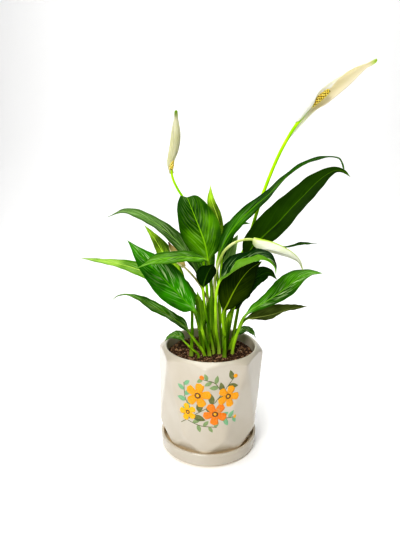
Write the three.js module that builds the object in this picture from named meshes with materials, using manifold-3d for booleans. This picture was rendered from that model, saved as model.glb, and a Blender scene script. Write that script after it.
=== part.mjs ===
// A potted peace lily: a faceted ceramic pot on its saucer, the soil, the leaves on their stalks
// and the blooms. Millimetres, +Z up; the origin is the centre of the saucer's underside.
import * as THREE from 'three';
import { ConvexGeometry } from 'three/addons/geometries/ConvexGeometry.js';
import { mergeVertices } from 'three/addons/utils/BufferGeometryUtils.js';
import Module from 'manifold-3d';

const wasm = await Module();
wasm.setup();

// ---- Driving dimensions -------------------------------------------------------------------
const GAP = 0.3;                 // clearance between neighbouring pieces

const SAUCER_RADIUS = 56.3;      // outside, at the rim
const SAUCER_HEIGHT = 16.6;
const SAUCER_INNER_RADIUS = 52.6;
const SAUCER_FLOOR = 4.6;        // height of the saucer's inner floor
const SAUCER_BASE_RADIUS = 49;   // flat underside

const POT_TOP = 122.4;           // height of the rounded lip
const POT_FOOT = SAUCER_FLOOR + GAP;
const FACET_SIDES = 8;
const SHOULDER_RADIUS = 60.5;    // corners of the upper octagon
const SHOULDER_HEIGHT = 116.5;
const WAIST_RADIUS = 58.2;       // corners of the lower octagon, half a side round
const WAIST_HEIGHT = 35.6;
const SHIELD_TIP_HEIGHT = 13;    // where two lower facets meet under a tall one
const SHOULDER_TURN = -3;        // degrees from the front to the nearest shoulder corner
const FOOT_RADIUS = 46.5;
const LIP_RADIUS = 52.6;         // ridge of the lip
const MOUTH_RADIUS = 50;         // inside, just below the lip
const POT_INNER_WAIST = 47.2;    // inside radius at the waist
const POT_INNER_FLOOR_RADIUS = 39;
const POT_INNER_FLOOR = 11.5;
const DRAIN_RADIUS = 5.5;
const ROUND_SIDES = 40;

const SOIL_EDGE = 111;           // soil height at the pot's wall
const SOIL_MOUND = 3.2;          // rise towards the middle
const SOIL_LUMPS = 1.1;          // unevenness of the top
const SOIL_CLEARANCE = 0.4;
const SOIL_RINGS = 5;
const SOIL_SIDES = 24;
const SOIL_SEED = 7;

const ABOVE_SOIL = 117;          // height at which a stalk leaves its upright foot
const FOOT_DEPTH = 13;           // length of the upright foot, most of it in the soil
const FOOT_CLEARANCE = 0.35;     // between a foot and its hole
const HOLE_SIDES = 6;
const HOLE_OVER = 2;             // length of a hole's cutter past the top of the foot
const PATH_STEPS = 400;          // fineness of a path's measured length

const BLADE_THICKNESS = 0.8;
const BLADE_STATIONS = 11;
const STALK_STATIONS = 4;
const COLLAR_BLEND = 0.14;       // share of a blade over which the round stalk flattens into it
const BLADE_TIP_HALF = 0.55;     // half width at a blade's very tip
const STALK_ACROSS = 0.95;       // reach of a stalk's outermost points, as a share of its radius
const STALK_ROUNDNESS = 1.09;    // keeps those points a little off the stalk's flat middle
const BLOOM_STALK_STATIONS = 9;
const ACROSS = [-1, -0.55, 0, 0.55, 1];          // points across a blade, edge to edge
const SPATHE_ACROSS = [-1, -0.68, -0.34, 0, 0.34, 0.68, 1];
const SPATHE_THICKNESS = 0.9;
const SPATHE_STATIONS = 11;
const CLASP_ROLL = 100;          // degrees round the stalk, each way, where a hood clasps it
const CLASP_SLACK = 1.1;         // lets a hood's foot clear the flats of its own sides
const STALK_SWELL = 1.1;         // the widest a stalk's ring gets, as a share of its radius
const SPATHE_TIP_HALF = 1;       // half width at a hood's very tip
const FLATTEST_CURL = 60;        // largest radius to which a hood's sheet is rolled
const SPADIX_ROWS = 11;
const SPADIX_SIDES = 10;

// ---- The plant, leaf by leaf ----------------------------------------------------------------
// root: where the stalk stands in the soil. bend: points that the stalk passes. rib: points on
// the midrib, from the collar, where the blade starts, to the tip. face: where the upper side
// looks, at the collar and at the tip. fold: degrees by which each half of the blade is lifted.
const LEAF_DEFAULTS = { bend: [], fold: 12, wave: 1.3, waves: 2, stalk: [2, 1.4], widest: 0.42 };

const LEAVES = [
  { name: 'leaf_upper_left', root: [-8, 5], bend: [[-8, 6, 155]], width: 20, fold: 10, widest: 0.5,
    rib: [[-13, 8, 192], [-23, 9, 214], [-34, 11, 230], [-47, 13, 243], [-61, 14, 254],
      [-74, 12, 262], [-87, 9, 268], [-100, 6, 270], [-116, 1, 264]],
    face: [[0.6, -0.6, 0.5], [-0.2, -0.5, 1]] },
  { name: 'leaf_centre_upright', root: [3, 1], bend: [[2, -1, 165]], width: 46, fold: 14,
    stalk: [2.6, 1.8], widest: 0.4,
    rib: [[-5, -4, 217], [-9, 0, 237], [-17, 8, 256], [-26, 17, 275], [-32, 29, 286], [-33, 44, 282]],
    face: [[0, -1, 0.1], [0, -0.1, 1]] },
  { name: 'leaf_left_glossy', root: [-1, -16], bend: [[-9, -17, 142]], width: 37, fold: 8,
    stalk: [2.2, 1.5],
    rib: [[-16, -18, 164], [-31, -24, 182], [-49, -30, 203], [-68, -36, 224], [-85, -42, 246]],
    face: [[0.4, -0.75, 0.5], [0.2, -0.8, 0.6]] },
  { name: 'leaf_left_crossing', root: [4, -5], bend: [[0, -9, 170]], width: 22, fold: 6,
    rib: [[-5, -16, 221], [-21, -26, 227], [-41, -38, 229], [-57, -50, 227], [-74, -60, 221]],
    face: [[0, -0.5, 0.9], [0, -0.5, 0.9]] },
  { name: 'leaf_far_left', root: [-21, -16], bend: [[-21, -12, 145]], width: 18,
    rib: [[-25, -5, 174], [-48, 0, 191], [-76, 4, 203], [-102, 6, 210], [-127, 6, 214], [-149, 4, 217]],
    face: [[0.3, -0.6, 0.8], [0, -0.6, 0.8]] },
  { name: 'leaf_left_young', root: [-12, 13], bend: [[-18, 20, 145]], width: 24, fold: 30,
    rib: [[-34, 26, 177], [-47, 30, 199], [-61, 34, 221], [-73, 36, 240], [-83, 38, 252]],
    face: [[0.5, -0.8, 0.3], [0.5, -0.8, 0.3]] },
  { name: 'leaf_lower_left', root: [-6, -21], bend: [[-13, -21, 128]], width: 17, widest: 0.3,
    rib: [[-23, -20, 141], [-29, -22, 150], [-39, -25, 158], [-50, -28, 167], [-63, -32, 175],
      [-76, -37, 184], [-88, -40, 189], [-96, -43, 188], [-102, -45, 183]],
    face: [[0.4, -0.4, 0.8], [-0.2, -0.4, 1]] },
  { name: 'leaf_left_rim', root: [-13, -22], bend: [[-21, -21, 124]], width: 13,
    stalk: [1.6, 1.1], wave: 0.6,
    rib: [[-29, -17, 130], [-36, -13, 135], [-43, -10, 134], [-49, -8, 130], [-52, -8, 126]],
    face: [[0.2, -0.3, 1], [-0.8, -0.3, 0.6]] },
  { name: 'leaf_right_rim', root: [21, 7], width: 12, stalk: [1.8, 1.2], wave: 0.8,
    rib: [[27, 10, 128], [34, 13, 133], [41, 14, 135], [49, 13, 131], [53, 11, 125]],
    face: [[-0.2, -0.3, 1], [0.9, -0.3, 0.6]] },
  { name: 'leaf_right_glossy', root: [25, -9], bend: [[29, -9, 136]], width: 26, widest: 0.58,
    rib: [[36, -9, 157], [46, -12, 169], [56, -14, 176], [69, -17, 186], [80, -21, 197], [90, -23, 207],
      [103, -25, 214], [116, -27, 215]],
    face: [[-0.4, -0.7, 0.6], [-0.2, -0.6, 0.8]] },
  { name: 'leaf_right_under', root: [22, 0], bend: [[30, -1, 136]], width: 25,
    rib: [[38, -3, 153], [51, -3, 157], [68, -1, 160], [89, 3, 166], [109, 6, 168]],
    face: [[-0.1, 0.85, 0.5], [-0.1, 0.7, 0.7]] },
  { name: 'leaf_upper_right_broad', root: [18, 14], bend: [[24, 13, 165]], width: 39, fold: 10,
    stalk: [2.4, 1.7], widest: 0.4,
    rib: [[33, 9, 215], [44, 8, 237], [56, 5, 250], [69, 1, 264], [81, -6, 280], [93, -14, 295],
      [103, -22, 308], [112, -30, 317], [119, -35, 321], [126, -39, 320], [132, -42, 315]],
    face: [[-0.35, 0.9, 0.3], [-0.3, 0.8, 0.5]] },
  { name: 'leaf_upper_right_narrow', root: [10, 2], bend: [[9, -1, 170]], width: 17, fold: 14,
    widest: 0.32,
    rib: [[5, -9, 219], [9, -11, 234], [16, -9, 249], [27, -5, 264], [42, 0, 279], [58, 5, 293],
      [74, 8, 310], [91, 6, 324], [107, 4, 332], [121, 1, 335], [129, -6, 333], [132, -8, 328],
      [134, -10, 321]],
    face: [[-0.4, -0.8, 0.4], [-0.2, 0.05, 1]] },
  { name: 'leaf_new_rolled', root: [6, 9], bend: [[8, 14, 180]], width: 16, fold: 35,
    stalk: [1.6, 1.3], wave: 0.3,
    rib: [[9, 24, 243], [3, 27, 266], [-4, 30, 284], [-6, 32, 301]],
    face: [[-0.3, -0.9, 0], [-0.3, -0.9, 0]] },
  { name: 'leaf_back_right', root: [8, 17], bend: [[8, 22, 165]], width: 22,
    rib: [[10, 28, 213], [13, 32, 238], [22, 38, 256], [42, 44, 257]],
    face: [[-0.6, -0.5, 0.6], [0, -0.5, 0.85]] },
  { name: 'leaf_back_small', root: [14, 22], bend: [[16, 27, 160]], width: 17,
    stalk: [1.6, 1.1], wave: 0.6,
    rib: [[15, 34, 205], [20, 37, 226], [28, 40, 244]],
    face: [[-0.3, -0.8, 0.5], [-0.3, -0.8, 0.5]] },
  { name: 'leaf_back_right_thin', root: [26, 24], bend: [[32, 23, 165]], width: 10, fold: 8,
    rib: [[40, 16, 206], [46, 17, 221], [56, 20, 230], [71, 24, 232], [89, 29, 233], [104, 34, 236],
      [122, 40, 236]],
    face: [[0, -0.2, 1], [0, -0.2, 1]] },
  { name: 'leaf_front_arching', root: [10, -12], bend: [[5, -17, 155]], width: 30, fold: 44,
    rib: [[8, -26, 202], [18, -32, 213], [29, -38, 222], [39, -44, 228], [49, -48, 232], [56, -51, 231],
      [62, -54, 226], [64, -56, 217]],
    face: [[-0.3, -0.55, 0.8], [0.9, -0.15, 0.5]] },
  { name: 'leaf_centre_underside', root: [16, -20], bend: [[15, -17, 140]], width: 37, fold: 8,
    stalk: [2.2, 1.7], widest: 0.5,
    rib: [[13, -17, 164], [18, -18, 177], [24, -19, 191], [31, -20, 204], [40, -22, 216], [52, -24, 225]],
    face: [[0, 1, 0.1], [-0.2, 0.9, 0.3]] },
  { name: 'leaf_right_behind', root: [17, -6], bend: [[20, -2, 150]], width: 25,
    rib: [[29, -1, 176], [39, 0, 191], [52, 2, 203], [63, 3, 207], [72, 0, 200]],
    face: [[-0.3, -0.6, 0.7], [-0.1, -0.6, 0.8]] },
  { name: 'leaf_right_torn', root: [16, 1], bend: [[17, 4, 140]], width: 13,
    rib: [[20, 6, 157], [32, 9, 168], [46, 12, 182]],
    face: [[-0.5, 0.7, 0.5], [-0.5, 0.7, 0.5]] },
  { name: 'leaf_front_round', root: [4, -12], bend: [[-3, -17, 150]], width: 22, fold: 16, widest: 0.5,
    stalk: [1.7, 1.2], wave: 0.6,
    rib: [[-9, -24, 194], [-7, -28, 205], [-3, -33, 216], [2, -38, 224]],
    face: [[-0.2, 0.8, 0.5], [-0.2, 0.8, 0.5]] },
  { name: 'leaf_olive_left', root: [-9, -5], width: 13, fold: 20, wave: 0.6, stalk: [1.6, 1.2],
    rib: [[-10, -1, 139], [-13, 1, 161], [-17, 3, 183]],
    face: [[0.3, -0.8, 0.3], [0.3, -0.8, 0.3]] },
  { name: 'leaf_olive_right', root: [-3, -2], width: 12, fold: 20, wave: 0.6, stalk: [1.6, 1.2],
    rib: [[-1, 4, 134], [-2, 7, 156], [-3, 10, 176]],
    face: [[0.2, -0.9, 0.3], [0.2, -0.9, 0.3]] },
  { name: 'leaf_back_upright', root: [0, 21], bend: [[-3, 28, 150]], width: 30,
    rib: [[-8, 36, 180], [-12, 44, 205], [-16, 57, 230], [-18, 72, 245], [-18, 92, 250]],
    face: [[0, -1, 0.4], [0, -0.2, 1]] },
  { name: 'leaf_back_leaning', root: [19, 21], bend: [[24, 27, 150]], width: 28,
    rib: [[30, 32, 180], [43, 42, 208], [54, 56, 228], [67, 73, 240], [80, 90, 238]],
    face: [[-0.5, -0.5, 0.7], [0, -0.2, 1]] },
  { name: 'leaf_back_low', root: [-8, 20], bend: [[-11, 26, 138]], width: 24,
    rib: [[-16, 34, 152], [-32, 46, 170], [-48, 58, 180], [-64, 72, 181], [-76, 82, 174]],
    face: [[0.3, -0.2, 0.9], [0, 0, 1]] },
].map((leaf) => ({ ...LEAF_DEFAULTS, ...leaf }));

// clasp: length of stalk inside the hood. spathe.path: the back of the hood, from beyond the clasp
// to its tip. roll: degrees between the middle and an edge of the hood, low down and at the tip.
// spadix.to: the free end of the flower spike, which stands on the end of the stalk.
const BLOOMS = [
  { name: 'bloom_right', root: [14, 8], stalk: [2, 1.7], clasp: 22,
    bend: [[17, 18, 181], [39, 22, 240], [53, 22, 291], [70, 22, 338], [84, 22, 365], [91, 21, 375],
      [101.5, 15.3, 386.5]],
    spathe: { path: [[99, 23, 391], [116, 18, 408], [138, 13, 422], [163, 8, 433]],
      width: 24, roll: [80, 50], face: [[0.5, -0.7, -0.4], [0.4, -0.6, -0.6]], widest: 0.45 },
    spadix: { to: [117, 11, 403], radius: 2.6, knob: 0.7 } },
  { name: 'bloom_left', root: [-4, 15], stalk: [1.8, 1.3], clasp: 4,
    bend: [[-8, 24, 190], [-22, 37, 250], [-36, 40, 282], [-44, 38, 295], [-49, 35, 306], [-51, 33, 316]],
    spathe: { path: [[-54, 35.5, 323], [-52.5, 37, 331], [-50, 38.5, 340], [-47.5, 39, 351], [-46, 38, 362],
      [-45.6, 35, 373], [-45.6, 33.3, 381]],
      width: 31, roll: [150, 160], face: [[0.75, -0.65, 0], [-0.3, -0.95, 0]], widest: 0.55 },
    spadix: { to: [-49, 33, 338], radius: 2, knob: 0.5 } },
  { name: 'bloom_drooping', root: [10, -5], stalk: [1.9, 1.4], clasp: 4,
    bend: [[6, -8, 160], [3, -12, 200], [7, -16, 221], [12, -18, 233], [18, -20, 240], [28, -22, 246],
      [38, -24, 248], [46, -25, 247]],
    spathe: { path: [[59, -29, 247], [71, -33, 243], [82, -37, 237], [89, -40, 230], [92, -42, 221]],
      width: 27, roll: [85, 70], face: [[0.2, -0.25, -0.9], [-0.6, -0.2, -0.7]], widest: 0.28 },
    spadix: { to: [59, -28, 239.5], radius: 2, knob: 0.5 } },
  { name: 'bloom_wilted', root: [-1, 7], stalk: [1.5, 1.1], clasp: 3,
    bend: [[1, 12, 150], [-12, 15, 183], [-25, 18, 199], [-36, 20, 209]],
    spathe: { path: [[-43, 22, 217], [-49, 22, 227], [-52, 23, 235]],
      width: 14, roll: [110, 100], face: [[0.4, -0.8, 0.3], [0.4, -0.8, 0.3]], widest: 0.4 },
    spadix: null },
];

// The short stump of a stalk that was cut off above the soil.
const STUMP = {
  name: 'cut_stalk', root: [-7, -15], bend: [[-9, -13.5, 129], [-11.5, -12.5, 142]], stalk: [2.1, 2.5],
};
const STUMP_STATIONS = 4;

// ---- Vectors and lofts ----------------------------------------------------------------------
const vec = (p) => new THREE.Vector3(p[0], p[1], p[2]);
const smooth = (a, b, t) => THREE.MathUtils.smoothstep(t, a, b);
const rad = THREE.MathUtils.degToRad;
const mix = THREE.MathUtils.lerp;
const FRONT = new THREE.Vector3(0, -1, 0.2);
const UP = new THREE.Vector3(0, 0, 1);

// A cut through a stalk or blade: side points across it, normal points to its upper face.
function frameAt(point, tangent, face) {
  const normal = face.clone().addScaledVector(tangent, -face.dot(tangent)).normalize();
  const side = new THREE.Vector3().crossVectors(tangent, normal);
  return { point, tangent, normal, side };
}

const placed = (frame, across, up) =>
  frame.point.clone().addScaledVector(frame.side, across).addScaledVector(frame.normal, up);

// The outline of a round stalk, with as many points on its upper and lower half as a blade has.
function stalkRing(frame, radius, across) {
  const point = (u, side) =>
    placed(frame, STALK_ACROSS * radius * u, side * radius * Math.sqrt(STALK_ROUNDNESS - u * u));
  const upper = across.map((u) => point(u, 1));
  const lower = across.map((u) => point(u, -1));
  return [...upper, ...lower.reverse()];
}

const blendRings = (ringA, ringB, t) => ringA.map((p, i) => p.clone().lerp(ringB[i], t));

// Skins a row of rings into one closed solid. Both faces of a blade get the same diagonals.
function skin(rings) {
  const count = rings[0].length;
  const positions = rings.flat().flatMap((p) => [p.x, p.y, p.z]);
  const index = [];
  for (let r = 0; r < rings.length - 1; r++) {
    for (let i = 0; i < count; i++) {
      const a = r * count + i;
      const b = r * count + (i + 1) % count;
      const c = b + count;
      const d = a + count;
      if (i < count / 2) index.push(a, b, c, a, c, d);
      else index.push(a, b, d, b, c, d);
    }
  }
  const last = (rings.length - 1) * count;
  for (let i = 1; i < count - 1; i++) {
    index.push(0, i + 1, i);
    index.push(last, last + i, last + i + 1);
  }
  const geometry = new THREE.BufferGeometry();
  geometry.setAttribute('position', new THREE.Float32BufferAttribute(positions, 3));
  geometry.setIndex(index);
  return outward(geometry);
}

function signedVolume(geometry) {
  const p = geometry.attributes.position;
  const index = geometry.index;
  const [a, b, c] = [0, 0, 0].map(() => new THREE.Vector3());
  let sum = 0;
  for (let i = 0; i < index.count; i += 3) {
    a.fromBufferAttribute(p, index.getX(i));
    b.fromBufferAttribute(p, index.getX(i + 1));
    c.fromBufferAttribute(p, index.getX(i + 2));
    sum += a.dot(b.cross(c));
  }
  return sum / 6;
}

function outward(geometry) {
  if (signedVolume(geometry) > 0) return geometry;
  const order = Array.from(geometry.index.array).reverse();
  geometry.setIndex(order);
  return geometry;
}

// ---- Cutting and joining --------------------------------------------------------------------
function toSolid(geometry) {
  const plain = geometry.clone();
  plain.deleteAttribute('normal');
  plain.deleteAttribute('uv');
  const merged = mergeVertices(plain, 1e-4);
  const vertProperties = new Float32Array(merged.attributes.position.array);
  const triVerts = new Uint32Array(merged.index.array);
  return new wasm.Manifold(new wasm.Mesh({ numProp: 3, vertProperties, triVerts }));
}

function fromSolid(solid) {
  const mesh = solid.getMesh();
  const geometry = new THREE.BufferGeometry();
  geometry.setAttribute('position', new THREE.Float32BufferAttribute(mesh.vertProperties, 3));
  geometry.setIndex(Array.from(mesh.triVerts));
  return geometry;
}

// A solid of revolution about the pot's axis, from [radius, height] pairs.
function turned(profile, sides = ROUND_SIDES) {
  const points = profile.map(([radius, height]) => new THREE.Vector2(radius, height));
  const geometry = new THREE.LatheGeometry(points, sides);
  geometry.rotateX(Math.PI / 2);
  geometry.deleteAttribute('normal');
  geometry.deleteAttribute('uv');
  return outward(mergeVertices(geometry, 1e-4));
}

// ---- Pot and saucer -------------------------------------------------------------------------
function octagon(radius, height, turn) {
  return Array.from({ length: FACET_SIDES }, (_, i) => {
    const angle = rad(turn + (i * 360) / FACET_SIDES);
    return new THREE.Vector3(radius * Math.sin(angle), -radius * Math.cos(angle), height);
  });
}

// Two octagons, turned half a side against each other, give the tall three-sided facets. Under
// the lower octagon the facets lean in, and two of them meet at the tip of each tall one.
function facetedBody() {
  const halfSide = 180 / FACET_SIDES;
  const inCircle = Math.cos(rad(halfSide));
  const waistFlat = WAIST_RADIUS * inCircle;
  const tallLean = (SHOULDER_RADIUS - waistFlat) / (SHOULDER_HEIGHT - WAIST_HEIGHT);
  const tipRadius = waistFlat - tallLean * (WAIST_HEIGHT - SHIELD_TIP_HEIGHT);
  const lowLean = (WAIST_RADIUS - tipRadius * inCircle) / (WAIST_HEIGHT - SHIELD_TIP_HEIGHT);
  const footFlat = WAIST_RADIUS - lowLean * (WAIST_HEIGHT - POT_FOOT);
  return new ConvexGeometry([
    ...octagon(SHOULDER_RADIUS, POT_TOP + 1, SHOULDER_TURN),
    ...octagon(SHOULDER_RADIUS, SHOULDER_HEIGHT, SHOULDER_TURN),
    ...octagon(WAIST_RADIUS, WAIST_HEIGHT, SHOULDER_TURN + halfSide),
    ...octagon(tipRadius, SHIELD_TIP_HEIGHT, SHOULDER_TURN),
    ...octagon(footFlat / inCircle, POT_FOOT, SHOULDER_TURN),
  ]);
}

// The round form that trims the facets: a foot, a bevelled shoulder and a rolled lip.
const potOutside = () => turned([
  [0, POT_FOOT], [FOOT_RADIUS - 2, POT_FOOT], [FOOT_RADIUS, POT_FOOT + 1.2], [FOOT_RADIUS + 3, POT_FOOT + 5],
  [SHOULDER_RADIUS + 4, WAIST_HEIGHT], [SHOULDER_RADIUS + 4, SHOULDER_HEIGHT - 3.4],
  [LIP_RADIUS + 1.8, POT_TOP - 0.9], [LIP_RADIUS + 0.9, POT_TOP - 0.2], [LIP_RADIUS, POT_TOP],
  [MOUTH_RADIUS, POT_TOP], [0, POT_TOP],
]);

const potHollow = () => turned([
  [0, POT_INNER_FLOOR], [POT_INNER_FLOOR_RADIUS - 3, POT_INNER_FLOOR],
  [POT_INNER_FLOOR_RADIUS, POT_INNER_FLOOR + 2.5], [POT_INNER_WAIST, WAIST_HEIGHT],
  [MOUTH_RADIUS - 0.6, POT_TOP - 12], [MOUTH_RADIUS, POT_TOP - 2.6],
  [MOUTH_RADIUS + 0.7, POT_TOP - 0.9], [MOUTH_RADIUS + 1.7, POT_TOP - 0.2], [MOUTH_RADIUS + 2.2, POT_TOP + 1],
  [0, POT_TOP + 1],
]);

function drainHole() {
  const hole = new THREE.CylinderGeometry(DRAIN_RADIUS, DRAIN_RADIUS, 3 * POT_INNER_FLOOR, 24);
  return hole.rotateX(Math.PI / 2);
}

function potGeometry() {
  const body = toSolid(facetedBody()).intersect(toSolid(potOutside()));
  return fromSolid(body.subtract(toSolid(potHollow())).subtract(toSolid(drainHole())));
}

const saucerGeometry = () => turned([
  [0, 0], [SAUCER_BASE_RADIUS, 0], [SAUCER_BASE_RADIUS + 3.2, 0.7], [SAUCER_RADIUS - 1.8, 2.6],
  [SAUCER_RADIUS - 0.6, 5.6], [SAUCER_RADIUS, SAUCER_HEIGHT - 3], [SAUCER_RADIUS - 0.4, SAUCER_HEIGHT - 0.8],
  [SAUCER_RADIUS - 1.3, SAUCER_HEIGHT], [SAUCER_INNER_RADIUS + 1, SAUCER_HEIGHT - 0.3],
  [SAUCER_INNER_RADIUS + 0.2, SAUCER_HEIGHT - 1.6], [SAUCER_INNER_RADIUS, SAUCER_FLOOR + 4],
  [SAUCER_INNER_RADIUS - 1.4, SAUCER_FLOOR + 1.2], [SAUCER_INNER_RADIUS - 4.2, SAUCER_FLOOR],
  [0, SAUCER_FLOOR],
]);

// ---- Leaves ---------------------------------------------------------------------------------
// Half width of a blade at t, from 0 at the stalk to 1 at the drawn-out tip.
function bladeOutline(t, widest = 0.42) {
  const bulge = Math.sin(Math.PI * t ** (Math.log(0.5) / Math.log(widest))) ** 0.9;
  return bulge * (1 - 0.4 * smooth(0.72, 1, t));
}

// The path of a stalk from just above the soil, and on along the midrib of a leaf's blade.
function growthPath(plant) {
  const root = [plant.root[0], plant.root[1], ABOVE_SOIL];
  const points = [root, ...plant.bend, ...(plant.rib ?? [])].map(vec);
  const curve = new THREE.CatmullRomCurve3(points, false, 'centripetal');
  curve.arcLengthDivisions = PATH_STEPS;
  return curve;
}

// How far along a leaf's path, as a share of its length, the blade starts.
function collarShare(leaf, curve) {
  const spans = leaf.bend.length + leaf.rib.length;
  const lengths = curve.getLengths(PATH_STEPS);
  return lengths[Math.round(((leaf.bend.length + 1) / spans) * PATH_STEPS)] / lengths[PATH_STEPS];
}

const faceVector = (faces, t) => vec(faces[0]).lerp(vec(faces[faces.length - 1]), t).normalize();

// One cut across a blade. Its halves lift by the fold, its margins wave, its midrib stands below.
function bladeRing(frame, leaf, t) {
  const half = Math.max(BLADE_TIP_HALF, (leaf.width / 2) * bladeOutline(t, leaf.widest));
  const rib = 2 * leaf.stalk[1] * (1 - t) ** 1.4;
  const fold = rad(leaf.fold);
  const upper = ACROSS.map((u) => {
    const phase = 2 * Math.PI * (leaf.waves * t + (u > 0 ? 0.37 : 0)) + leaf.width;
    const wave = leaf.wave * u * u * Math.sin(phase) * smooth(0, 0.2, t) * (1 - smooth(0.8, 1, t));
    const reach = half * u;
    return [reach * Math.cos(fold), Math.abs(reach) * Math.sin(fold) + wave];
  });
  const lower = upper.map(([across, up], i) => {
    const depth = BLADE_THICKNESS + (ACROSS[i] === 0 ? rib : 0);
    return [across, up - depth];
  });
  const ring = [...upper, ...lower.reverse()];
  return ring.map(([across, up]) => placed(frame, across, up + BLADE_THICKNESS / 2));
}

function leafGeometry(leaf) {
  const curve = growthPath(leaf);
  const collar = collarShare(leaf, curve);
  const [footRadius, neckRadius] = leaf.stalk;
  const face = (t) => faceVector(leaf.face, t);
  const rings = footRings(leaf);
  for (let i = 1; i < STALK_STATIONS; i++) {
    const t = i / STALK_STATIONS;
    const turning = FRONT.clone().lerp(face(0), t);
    const frame = frameAt(curve.getPointAt(collar * t), curve.getTangentAt(collar * t), turning);
    rings.push(stalkRing(frame, mix(footRadius, neckRadius, t), ACROSS));
  }
  for (let i = 0; i <= BLADE_STATIONS; i++) {
    const t = i / BLADE_STATIONS;
    const u = collar + (1 - collar) * t;
    const frame = frameAt(curve.getPointAt(u), curve.getTangentAt(u), face(t));
    const round = stalkRing(frame, neckRadius, ACROSS);
    rings.push(blendRings(round, bladeRing(frame, leaf, t), smooth(0, COLLAR_BLEND, t)));
  }
  return skin(rings);
}

// The two ends of the upright foot that stands in the soil under the start of a path.
function footRings(plant) {
  return [ABOVE_SOIL - FOOT_DEPTH, ABOVE_SOIL - 1].map((height) => {
    const point = new THREE.Vector3(plant.root[0], plant.root[1], height);
    return stalkRing(frameAt(point, UP, FRONT), plant.stalk[0], ACROSS);
  });
}

// The plain hole that a stalk's upright foot stands in.
function footHole(plant) {
  const radius = (plant.stalk[0] * 1.05 + FOOT_CLEARANCE) / Math.cos(Math.PI / HOLE_SIDES);
  const depth = FOOT_DEPTH + FOOT_CLEARANCE;
  const hole = new THREE.CylinderGeometry(radius, radius, depth + HOLE_OVER, HOLE_SIDES);
  hole.rotateX(Math.PI / 2);
  return hole.translate(plant.root[0], plant.root[1], ABOVE_SOIL + (HOLE_OVER - depth) / 2);
}

// ---- Blooms ---------------------------------------------------------------------------------
function stalkGeometry(plant, stations) {
  const curve = growthPath(plant);
  const [footRadius, neckRadius] = plant.stalk;
  const rings = footRings(plant);
  for (let i = 1; i <= stations; i++) {
    const t = i / stations;
    const frame = frameAt(curve.getPointAt(t), curve.getTangentAt(t), FRONT);
    rings.push(stalkRing(frame, mix(footRadius, neckRadius, t), ACROSS));
  }
  return skin(rings);
}

// The hood of a bloom: a blade rolled about its length by an amount that changes to its tip. Its
// foot clasps the stalk.
function spatheGeometry(bloom) {
  const { spathe } = bloom;
  const claspRadius = CLASP_SLACK * (STALK_SWELL * bloom.stalk[1] + GAP);
  const neck = rad(CLASP_ROLL) * claspRadius;
  const stalk = growthPath(bloom);
  const at = 1 - bloom.clasp / stalk.getLength();
  const clasped = frameAt(stalk.getPointAt(at), stalk.getTangentAt(at), vec(spathe.face[0]));
  const points = [placed(clasped, 0, -claspRadius), ...spathe.path.map(vec)];
  const curve = new THREE.CatmullRomCurve3(points, false, 'centripetal');
  const rings = [];
  for (let i = 0; i <= SPATHE_STATIONS; i++) {
    const t = i / SPATHE_STATIONS;
    const frame = frameAt(curve.getPointAt(t), curve.getTangentAt(t), faceVector(spathe.face, t));
    const open = smooth(0, 0.3, t);
    const wide = mix(neck, 0, t) + (spathe.width / 2) * bladeOutline(t, spathe.widest);
    const half = Math.max(SPATHE_TIP_HALF, wide);
    const roll = rad(mix(mix(CLASP_ROLL, spathe.roll[0], open), spathe.roll[1], smooth(0.3, 1, t)));
    const curl = Math.min(half / roll, FLATTEST_CURL);
    const upper = SPATHE_ACROSS.map((u) => rolledPoint(frame, u * half, curl, 0));
    const lower = SPATHE_ACROSS.map((u) => rolledPoint(frame, u * half, curl, SPATHE_THICKNESS));
    rings.push([...upper, ...lower.reverse()]);
  }
  return skin(rings);
}

// A point at an arc's length from the middle of a rolled sheet, out by a depth on its back.
function rolledPoint(frame, arc, radius, depth) {
  const angle = arc / radius;
  return placed(frame, (radius + depth) * Math.sin(angle), radius - (radius + depth) * Math.cos(angle));
}

// The flower spike: a blunt rod on the stalk's end, whose surface rises in staggered knobs.
function spadixGeometry(bloom) {
  const { spadix } = bloom;
  const stalk = growthPath(bloom);
  const foot = stalk.getPointAt(1).addScaledVector(stalk.getTangentAt(1), GAP);
  const axis = vec(spadix.to).sub(foot);
  const length = axis.length();
  axis.normalize();
  const rings = [];
  for (let row = 0; row <= SPADIX_ROWS; row++) {
    const t = row / SPADIX_ROWS;
    const frame = frameAt(foot.clone().addScaledVector(axis, length * t), axis, FRONT);
    const blunt = Math.sqrt(Math.max(0.05, 1 - (2 * t - 1) ** 6)) * (1.05 - 0.2 * t);
    const ring = [];
    for (let i = 0; i < SPADIX_SIDES; i++) {
      const angle = (2 * Math.PI * i) / SPADIX_SIDES;
      const knob = (row + i) % 2 === 0 ? spadix.knob : 0;
      const r = spadix.radius * blunt + (row === 0 || row === SPADIX_ROWS ? 0 : knob);
      ring.push(placed(frame, r * Math.cos(angle), r * Math.sin(angle)));
    }
    rings.push(ring);
  }
  return skin(rings);
}

// ---- Soil -----------------------------------------------------------------------------------
function seededRandom(seed) {
  let state = seed;
  return () => {
    state = (state * 1664525 + 1013904223) % 4294967296;
    return state / 4294967296;
  };
}

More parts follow.
